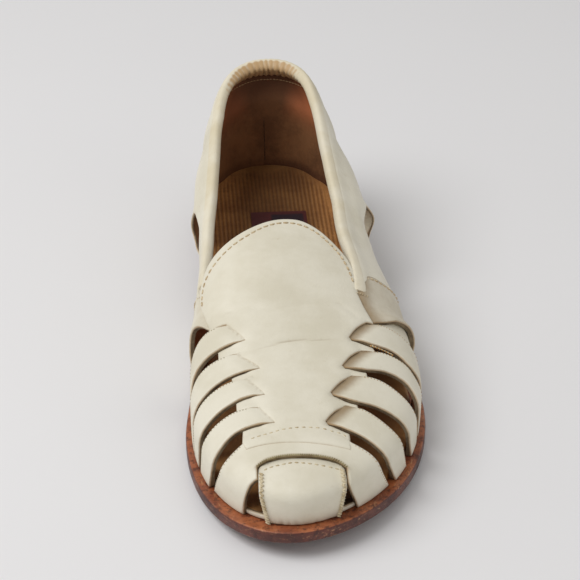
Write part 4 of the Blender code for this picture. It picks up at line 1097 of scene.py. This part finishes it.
def make_collar():
    """Rolled binding: a roll that swells to its lower fold, gathered and browned at the heel."""
    flat, around = TOP_LINE, 28
    count = len(flat)
    lap = ramp(flat[:, 1], 144, 14) * (flat[:, 0] > 0)     # where it rides up over the plug
    centre = off_last(*flat.T, QUARTER / 2 + 0.7 * lap - lean_in(flat, 0))
    outward = normals_at(*flat.T, over_sole(flat))
    tangent = np.gradient(centre, axis=0)
    tangent /= np.linalg.norm(tangent, axis=1)[:, None]
    outward -= tangent * (outward * tangent).sum(1)[:, None]
    outward /= np.linalg.norm(outward, axis=1)[:, None]
    lift = np.cross(tangent, outward)
    run = np.concatenate([[0], np.cumsum(np.linalg.norm(np.diff(centre, axis=0), axis=1))])
    behind = run - run[np.argmin(flat[:, 1])]
    back, tanned = bell(behind, 24, 4), bell(behind, np.where(behind > 0, 35, 23), 4)
    pleats = (0.45 + 0.13 * np.sin(run * 0.71 + 0.9)) * np.sin(run * 2.2 + 1.3 * np.sin(run * 0.37))
    bm = bmesh.new()
    layers = wear_and_painted_light_layers(bm)
    bmesh.ops.create_grid(bm, x_segments=count - 1, y_segments=around, size=1)
    spots, rims, creases = [], [], []
    for vert in bm.verts:
        i = int(round((vert.co.x + 1) / 2 * (count - 1)))
        turn = (vert.co.y + 1) * math.pi
        c, s = [math.copysign(abs(v) ** 0.78, v) for v in (math.cos(turn), math.sin(turn))]
        upward = s if lift[i][2] > 0 else -s
        inward, down = max(-c, 0), max(-upward, 0)
        end = min(run[-1] - run[i], run[i])
        close = 0.8 + 0.2 * math.sqrt(min(end / 1.2, 1.0))
        gather = back[i] * pleats[i] * (0.15 + 0.75 * inward)
        out_reach = (COLLAR_RADIUS - 0.6 * lap[i] + (1.5 * back[i] if c < 0 else 0)) * close + gather
        low_reach = 0.8 + 0.8 * lap[i] if c > 0 else HEEL_FOLD * back[i]
        lift_reach = (COLLAR_RADIUS + (low_reach if upward < 0 else 0)) * close + 0.5 * gather
        spots.append(centre[i] + out_reach * c * outward[i] + lift_reach * s * lift[i])
        raw = max(1 - end / 0.8, 0) * lap[i]
        tan = min(max((0.95 - c) / 0.9, 0), 1)
        rims.append(max(tanned[i] * tan * (1.0 + 0.4 * pleats[i]), 0.72 * inward**4, 0.6 * raw))
        # Darker in the pleats' valleys on the inner side at the heel; painted shade on the roll's underside.
        creases.append(1.5 * back[i] * inward * max(-pleats[i], 0) + 0.1 * down)
    settle(bm.verts, spots, layers, (rims, creases))
    bmesh.ops.remove_doubles(bm, verts=bm.verts, dist=1e-6)
    bmesh.ops.holes_fill(bm, edges=[e for e in bm.edges if e.is_boundary], sides=0)
    finished("collar_roll", bm, (ROLL_LEATHER,), "collar", 60)


# ---- stitching ----
def shifted(line, distance):
    """A line moved sideways, to the left of its direction where the distance is above 0."""
    line = smooth_line(line, 1.0)
    way = np.gradient(line, axis=0)
    way /= np.linalg.norm(way, axis=1)[:, None]
    return line + distance * np.stack([-way[:, 1], way[:, 0]], 1)


def seed_rows(name, rows, materials):
    """Stitches, holes and fibres in one mesh.

    Each row is (flat line, height, pitch, length, thickness, turn from the line, material, on the joints).
    """
    bm = bmesh.new()
    for line, height, pitch, length, thick, turned, kind, joints in rows:
        line = smooth_line(line, pitch)
        middle = line[1:-1] if joints else (line[:-1] + line[1:]) / 2
        along = line[2:] - line[:-2] if joints else np.diff(line, axis=0)
        along /= np.linalg.norm(along, axis=1)[:, None]
        high = height(middle) if callable(height) else np.full(len(middle), float(height))
        spot = off_last(*middle.T, high)
        ahead = off_last(*(middle + along * 0.5).T, high) - spot
        out = off_last(*middle.T, high + 1.0) - spot
        size = Matrix.Diagonal((length / 2 * MM, thick / 2 * MM, thick / 2 * MM, 1))
        for p, t, n in zip(spot, ahead, out):
            t, n = Vector(t).normalized(), Vector(n).normalized()
            t = Matrix.Rotation(math.radians(turned), 3, n) @ t
            b = n.cross(t).normalized()
            turn = Matrix((t, b, t.cross(b))).transposed().to_4x4()
            matrix = Matrix.Translation(Vector(p) * MM) @ turn @ size
            verts = bmesh.ops.create_icosphere(bm, subdivisions=1, radius=1.0, matrix=matrix)["verts"]
            for face in {f for v in verts for f in v.link_faces}:
                face.material_index = kind
    finished(name, bm, materials, "upper", 80)


def on_face(height, shift=0.0):
    """Height of a row that follows a piece's outer face."""
    return lambda flat: height(flat)[0] + shift


def on_quarters(face, shift):
    return lambda flat: quarters_shape(flat, np.zeros(len(flat), bool))[face] + shift


def make_stitching():
    rows = [(ARCH_STITCHES, PLUG - 0.12, 2.8, 2.75, 1.1, 0, 1, False),
            (ARCH_STITCHES, PLUG + 0.12, 2.8, 2.3, 0.85, 0, 0, False),
            (FRONT_STITCHES, on_face(plug_height), 2.5, 1.6, 0.6, 0, 0, False),
            (TAB_STITCHES, on_face(tab_height), 2.5, 1.7, 0.7, 0, 0, False)]
    for side in (-1, 1):
        seam = lasted(SEAM_STITCHES[side])[1:]
        fibres = 1 if side > 0 else 2
        edges = [(to_sole(shifted(rear, 0.85 * side))[4:-3], STRIP, 1.25) for rear, _ in STRIPS[side]]
        edges.append((to_sole(shifted(BAND_OUTER[side], 0.95 * side))[1:-3], BAND, 1.3))
        at = TAB_SIDE[side][0][0] - 1.6 * side
        ridge = lasted(((at, 259.0), (at, 272), (at, 292)))
        rows += [(seam, QUARTER_LAP - 0.1, 2.4, 2.3, 1.0, 0, 1, False),
                 (seam, QUARTER_LAP + 0.12, 2.4, 1.8, 0.75, 0, 0, False),
                 (topline(side, 7.6, THROAT_END[side] - 4), on_quarters("top", -0.05),
                  2.8, 0.8, 0.22, 0, 0, False)]
        rows += [(line, height, pitch, 0.5, 0.45, 0, fibres, False) for line, height, pitch in edges]
        rows += [(ridge, on_face(tab_height, 0.12), 1.3, 2.5, 0.85, 62, 0, False),
                 (ridge, on_face(tab_height), 1.3, 2.4, 0.85, -62, 0, True)]
    # The lower row of fibres at the toe band's edge takes the darker copy: painted shade under the edge.
    rope = shifted(BAND_INNER, 0.4)
    rows += [(rope, BAND + 0.2, 0.8, 1.6, 0.7, 64, 2, False),
             (rope, BAND - 0.6, 0.8, 2.0, 0.7, 48, 3, True),
             (LAP_END_FIBRES, 2.75, 1.0, 1.0, 0.5, 70, 0, False),
             (CRUMBS, 2.4, 1.3, 1.0, 0.8, 40, 4, False),
             (CRUMBS, 2.55, 1.3, 0.9, 0.7, -35, 0, True)]
    seed_rows("stitching", rows, (THREAD, TAN, OLIVE, SHADED, RUST))
    lining = on_quarters("bottom", -0.1)
    rows = [(topline(side, 7.9, 50), lining, 2.0, 1.6, 0.4, 0, 0, False) for side in (-1, 1)]
    rows.append((HEEL_SEAM, lining, 1.6, 2.4, 0.45, 0, 1, False))
    seed_rows("lining_stitching", rows, (TAN, DARK))


# ---- insole and outsole ----
def plan_loop(edge, toe_step=2.0):
    """Plan outline: the last's sole line moved out by edge(ledge)."""
    loop = []
    for kind, value, side in walk_round(toe_step, 3.0)[:-1]:
        base = value if kind == 0 else (TOE_CENTRE if kind == 1 else HEEL_CENTRE)
        out = edge(float(column("ledge", base)))
        width = float(side_column("", base, side)) + out
        ridge = float(column("ridge", base))
        if kind == 0:
            loop.append((ridge + side * width, value))
            continue
        front = TOE_REACH + edge(TOE_LEDGE) if kind == 1 else HEEL_REACH + out
        roundness = TOE_ROUNDNESS[side] + SQUARER * out if kind == 1 else HEEL_ROUNDNESS
        reach = float(plan_reach(value, width, front, roundness))
        forward = math.cos(value) if kind == 1 else -math.cos(value)
        loop.append((ridge + side * math.sin(value) * reach, base + forward * reach))
    return np.array(loop)


def insole_top(along):
    """Top of the insole: pressed down where the heel rests."""
    return column("seat", along) + INSOLE_THICKNESS - HEEL_PRINT * ease(ramp(along, 90, -50))


def make_insole():
    """Full insole of ribbed leather with a smooth border round the heel."""
    loop = plan_loop(lambda ledge: -0.5)
    loop[:, 0] += WAIST_EASE * np.sign(loop[:, 0] - ridge_at(loop[:, 1])) * bell(loop[:, 1] - 78, 34)
    bm = cut_flat([loop], 5.0, ())
    geom = bm.faces[:] + bm.edges[:] + bm.verts[:]
    for at in np.arange(loop[:, 0].min() + 0.2, loop[:, 0].max(), RIB / 5):
        geom = bmesh.ops.bisect_plane(bm, geom=geom, dist=1e-4, plane_no=(1, 0, 0),
                                      plane_co=(float(at), 0, 0))["geom"]
    layers = wear_and_painted_light_layers(bm)
    verts, _, flat, up = doubled(bm)
    across, along = flat.T
    edge, ridge = nearest(flat, closed(loop))[0], ridge_at(along)
    groove = 0.5 - 0.5 * np.cos(2 * math.pi * across / RIB)
    groove *= ramp(edge, 2.2 + 6.3 * ramp(along, 34, -22), 1.5) * ramp(along, 165, -20)
    # Painted shade: soil darkens the insole towards the toe, deep inside the shoe, and over the middle of the
    # heel and waist, where the walls keep the lamp off.
    soil = 0.1 * ramp(along, 140, 40) + 0.9 * ramp(along, 254, 5)
    soil += 0.62 * bell(across - ridge - 3, 20, 4) * ramp(along, 115, -30)
    top = insole_top(along) - RIB_DEPTH * groove - 0.5 * ramp(edge, 0.8, -0.8)
    height = np.where(up, top, column("seat", along))
    settle(verts, place(across, along, height, ridge), layers, (soil, groove))
    finished("insole_sock", bm, (SOCK,), "insole", 60)


def make_outsole():
    """Outsole: follows the last's sole line, its edge rounded above and below."""
    loop = plan_loop(lambda ledge: ledge, 1.5)
    bm = cut_flat([loop], 6.0, (0.1, 0.2, 0.3, 0.4))
    verts, _, flat, up = doubled(bm)
    edge = nearest(flat, closed(loop))[0]
    round_off = EDGE_ROUND * (1 - np.sqrt(1 - ramp(edge, EDGE_ROUND, -EDGE_ROUND) ** 2))
    top = column("seat", flat[:, 1]) - GAP
    height = np.where(up, top - round_off, top - SOLE_THICKNESS + round_off)
    settle(verts, place(*flat.T, height, ridge_at(flat[:, 1])))
    for face in bm.faces:
        face.material_index = 0
    finished("outsole_edge_trimmed", bm, (SOLE,), "outsole", 60)


def make_patch():
    """Plain patch with an inset panel, glued to the heel seat."""
    bm = bmesh.new()
    panel = bm.verts.layers.float.new("crease")
    bmesh.ops.create_grid(bm, x_segments=26, y_segments=20, size=1)
    for vert in bm.verts:
        across, along = [PATCH_CENTRE[k] + vert.co[k] * PATCH_HALF[k] for k in (0, 1)]
        in_panel = PANEL_ACROSS[0] < across < PANEL_ACROSS[1] and PANEL_ALONG[0] < along < PANEL_ALONG[1]
        vert[panel] = float(in_panel)
        height = float(insole_top(np.array(along))) + 0.3
        vert.co = place(np.array(across), np.array(along), np.array(height), -3.2) * MM
    bmesh.ops.solidify(bm, geom=bm.faces[:], thickness=0.4 * MM)
    finished("insole_patch", bm, (PATCH,), None, 60)


SLOTS = {side: slot_line(side) for side in (-1, 1)}
TOP_LINE = collar_line()

make_upper()
make_collar()
make_stitching()
make_insole()
make_outsole()
make_patch()
for node, material in (("heel", STACK), ("top_lift", RUBBER)):
    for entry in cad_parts[node].material_slots:
        entry.material = material


# ---- room, light and camera ----
def placed(name, data, spot=(0, 0, 0), target=None):
    """Puts a light, the camera or the floor into the scene, turned towards its target."""
    item = bpy.data.objects.new(name, data)
    item.location = spot
    if target:
        item.rotation_euler = (Vector(target) - Vector(spot)).to_track_quat("-Z", "Y").to_euler()
    bpy.context.scene.collection.objects.link(item)
    return item


def make_room():
    bm = bmesh.new()
    bmesh.ops.create_grid(bm, x_segments=2, y_segments=2, size=4.0)
    mesh = bpy.data.meshes.new("floor")
    bm.to_mesh(mesh)
    bm.free()
    mesh.materials.append(floor_paint())
    placed("floor", mesh)
    world = bpy.data.worlds.new("studio")
    world.use_nodes = True
    world.node_tree.nodes["Background"].inputs[0].default_value = colour("#E9E8E6")
    world.node_tree.nodes["Background"].inputs[1].default_value = 0.55
    bpy.context.scene.world = world
    for name, spot, size, power in LAMPS:
        light = bpy.data.lights.new(name, "AREA")
        light.shape, light.size, light.energy = "DISK", size, power
        placed(name, light, spot, LAMP_TARGET)


def make_camera():
    data = bpy.data.cameras.new("camera")
    data.sensor_width, data.lens = 36.0, LENS
    data.clip_start, data.clip_end = 0.05, 20
    bpy.context.scene.camera = placed("camera", data, CAMERA_SPOT, CAMERA_TARGET)


make_room()
make_camera()
bpy.context.scene.view_settings.view_transform = "Standard"
